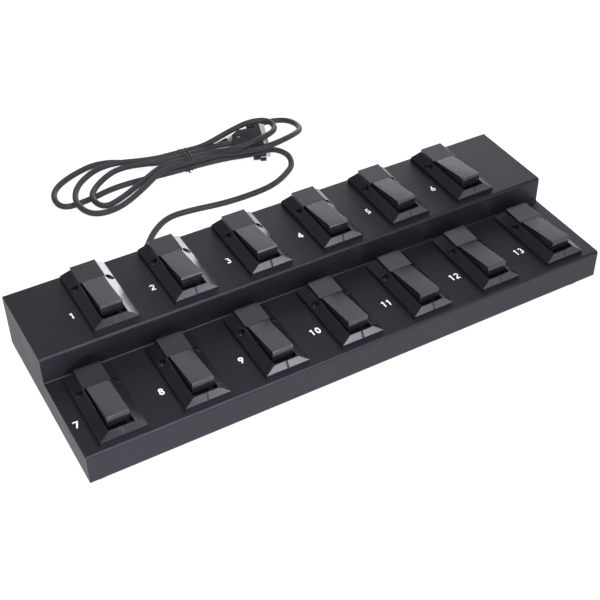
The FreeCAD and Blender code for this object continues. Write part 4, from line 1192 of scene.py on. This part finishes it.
# The studio grows paler to the right, to the back and towards the floor: its levels at the ends
# of that span and at two places in it
BRIGHT_SIDE = (0.55, 0.2, -0.6)
BRIGHT_SPAN = (-0.5, 0.2)
STUDIO_ENDS = (0.06, 0.75)
STUDIO_STEPS = ((0.40, 0.30), (0.64, 1.0))


def grey(level):
    """A grey of this level, opaque."""
    return (level, level, level, 1)


def area_light(name, place, target, size, power):
    """A soft rectangular lamp at a place, turned to its target."""
    light = bpy.data.lights.new(name, "AREA")
    light.shape = "RECTANGLE"
    light.size, light.size_y = size
    light.energy = power
    holder = scene_object(name, light)
    holder.location = place
    holder.rotation_euler = (Vector(target) - Vector(place)).to_track_quat("-Z", "Y").to_euler()


def seen_or_reflected(tree):
    """One for camera, glossy and transmitted rays, nought for the rest."""
    path = add_node(tree, "ShaderNodeLightPath")
    some = path.outputs["Is Camera Ray"]
    for kind in ("Is Glossy Ray", "Is Transmission Ray"):
        either = add_node(tree, "ShaderNodeMath", {0: some, 1: path.outputs[kind]})
        either.operation = "MAXIMUM"
        some = either.outputs["Value"]
    return some


class FOOTSWITCH_OT_stage(bpy.types.Operator):
    """Set the floor, the soft light and the camera"""
    bl_idname = "footswitch.stage"
    bl_label = "Stage"

    def execute(self, context):
        settings = context.scene.foot_switch_stage
        self.make_floor()
        self.make_world(context)
        for name, (place, target, size) in LAMPS.items():
            area_light(name, place, target, size, getattr(settings, name))
        self.make_camera(context, settings.lens)
        context.scene.view_settings.view_transform = "Standard"
        return {"FINISHED"}

    def make_camera(self, context, focal_length):
        lens = bpy.data.cameras.new("camera")
        lens.lens = focal_length
        lens.sensor_width = 36
        lens.shift_x, lens.shift_y = CAMERA_SHIFT
        camera = scene_object("camera", lens)
        level = math.cos(CAMERA_ELEVATION)
        back = Vector((math.sin(CAMERA_AZIMUTH) * level, -math.cos(CAMERA_AZIMUTH) * level,
                       math.sin(CAMERA_ELEVATION)))
        camera.rotation_mode = "QUATERNION"
        camera.location = CAMERA_TARGET + back * CAMERA_DISTANCE
        roll = Matrix.Rotation(CAMERA_ROLL, 3, "Z").to_quaternion()
        camera.rotation_quaternion = (-back).to_track_quat("-Z", "Y") @ roll
        context.scene.camera = camera

    def make_floor(self):
        mesh = bmesh.new()
        bmesh.ops.create_grid(mesh, x_segments=1, y_segments=1, size=FLOOR_HALF)
        floor = loose_object("floor", mesh)
        floor.location.z = -FLOOR_DROP
        material = bpy.data.materials.new("pale_floor")
        tree = empty_tree(material)
        matt = add_node(tree, "ShaderNodeBsdfDiffuse", {"Color": grey(FLOOR_LIGHT)})
        shaded = add_node(tree, "ShaderNodeBsdfDiffuse", {"Color": grey(FLOOR_SHADOW)})
        glow = add_node(tree, "ShaderNodeEmission", {"Strength": FLOOR_GLOW})
        lit = add_node(tree, "ShaderNodeAddShader", {
            0: shaded.outputs["BSDF"], 1: glow.outputs["Emission"],
        })
        mix = add_node(tree, "ShaderNodeMixShader", {
            "Fac": seen_or_reflected(tree), 1: matt.outputs["BSDF"], 2: lit.outputs["Shader"],
        })
        add_node(tree, "ShaderNodeOutputMaterial", {"Surface": mix.outputs["Shader"]})
        floor.data.materials.append(material)

    def make_world(self, context):
        world = bpy.data.worlds.new("studio")
        context.scene.world = world
        tree = empty_tree(world)
        place = add_node(tree, "ShaderNodeTexCoord")
        towards = add_node(tree, "ShaderNodeVectorMath", {
            0: place.outputs["Generated"], 1: BRIGHT_SIDE,
        })
        towards.operation = "DOT_PRODUCT"
        span = add_node(tree, "ShaderNodeMapRange", {
            "Value": towards.outputs["Value"], "From Min": BRIGHT_SPAN[0], "From Max": BRIGHT_SPAN[1],
        })
        ramp = add_node(tree, "ShaderNodeValToRGB", {"Fac": span.outputs["Result"]})
        dark, pale = ramp.color_ramp.elements
        dark.position, pale.position = 0.0, 1.0
        dark.color, pale.color = map(grey, STUDIO_ENDS)
        for position, level in STUDIO_STEPS:
            ramp.color_ramp.elements.new(position).color = grey(level)
        lit = add_node(tree, "ShaderNodeBackground", {"Color": ramp.outputs["Color"]})
        add_node(tree, "ShaderNodeOutputWorld", {"Surface": lit.outputs["Background"]})


class FOOTSWITCH_PT_panel(bpy.types.Panel):
    bl_label = "Foot switch"
    bl_idname = "FOOTSWITCH_PT_panel"
    bl_space_type = "VIEW_3D"
    bl_region_type = "UI"
    bl_category = "Foot switch"

    def draw(self, context):
        layout = self.layout
        for group in GROUPS:
            settings = getattr(context.scene, group)
            box = layout.box()
            for name in settings.bl_rna.properties.keys():
                if name not in ("rna_type", "name"):
                    box.prop(settings, name)
        for operator in OPERATORS:
            layout.operator(operator.bl_idname)


GROUPS = {
    "foot_switch_sizes": FootSwitchSizes,
    "foot_switch_colours": FootSwitchColours,
    "foot_switch_stage": FootSwitchStage,
}
OPERATORS = (
    FOOTSWITCH_OT_stage,
    FOOTSWITCH_OT_housing,
    FOOTSWITCH_OT_feet,
    FOOTSWITCH_OT_bases,
    FOOTSWITCH_OT_pedals,
    FOOTSWITCH_OT_springs,
    FOOTSWITCH_OT_screws,
    FOOTSWITCH_OT_numbers,
    FOOTSWITCH_OT_strain_relief,
    FOOTSWITCH_OT_cord,
    FOOTSWITCH_OT_tie,
    FOOTSWITCH_OT_plug,
    FOOTSWITCH_OT_sleeve,
)


def register():
    for group in GROUPS.values():
        bpy.utils.register_class(group)
    for operator in OPERATORS:
        bpy.utils.register_class(operator)
    bpy.utils.register_class(FOOTSWITCH_PT_panel)
    for name, group in GROUPS.items():
        setattr(bpy.types.Scene, name, PointerProperty(type=group))


def unregister():
    for name in GROUPS:
        delattr(bpy.types.Scene, name)
    bpy.utils.unregister_class(FOOTSWITCH_PT_panel)
    for operator in reversed(OPERATORS):
        bpy.utils.unregister_class(operator)
    for group in reversed(GROUPS.values()):
        bpy.utils.unregister_class(group)


def main():
    register()
    for operator in OPERATORS:
        area, action = operator.bl_idname.split(".")
        getattr(getattr(bpy.ops, area), action)()


if __name__ == "__main__":
    main()
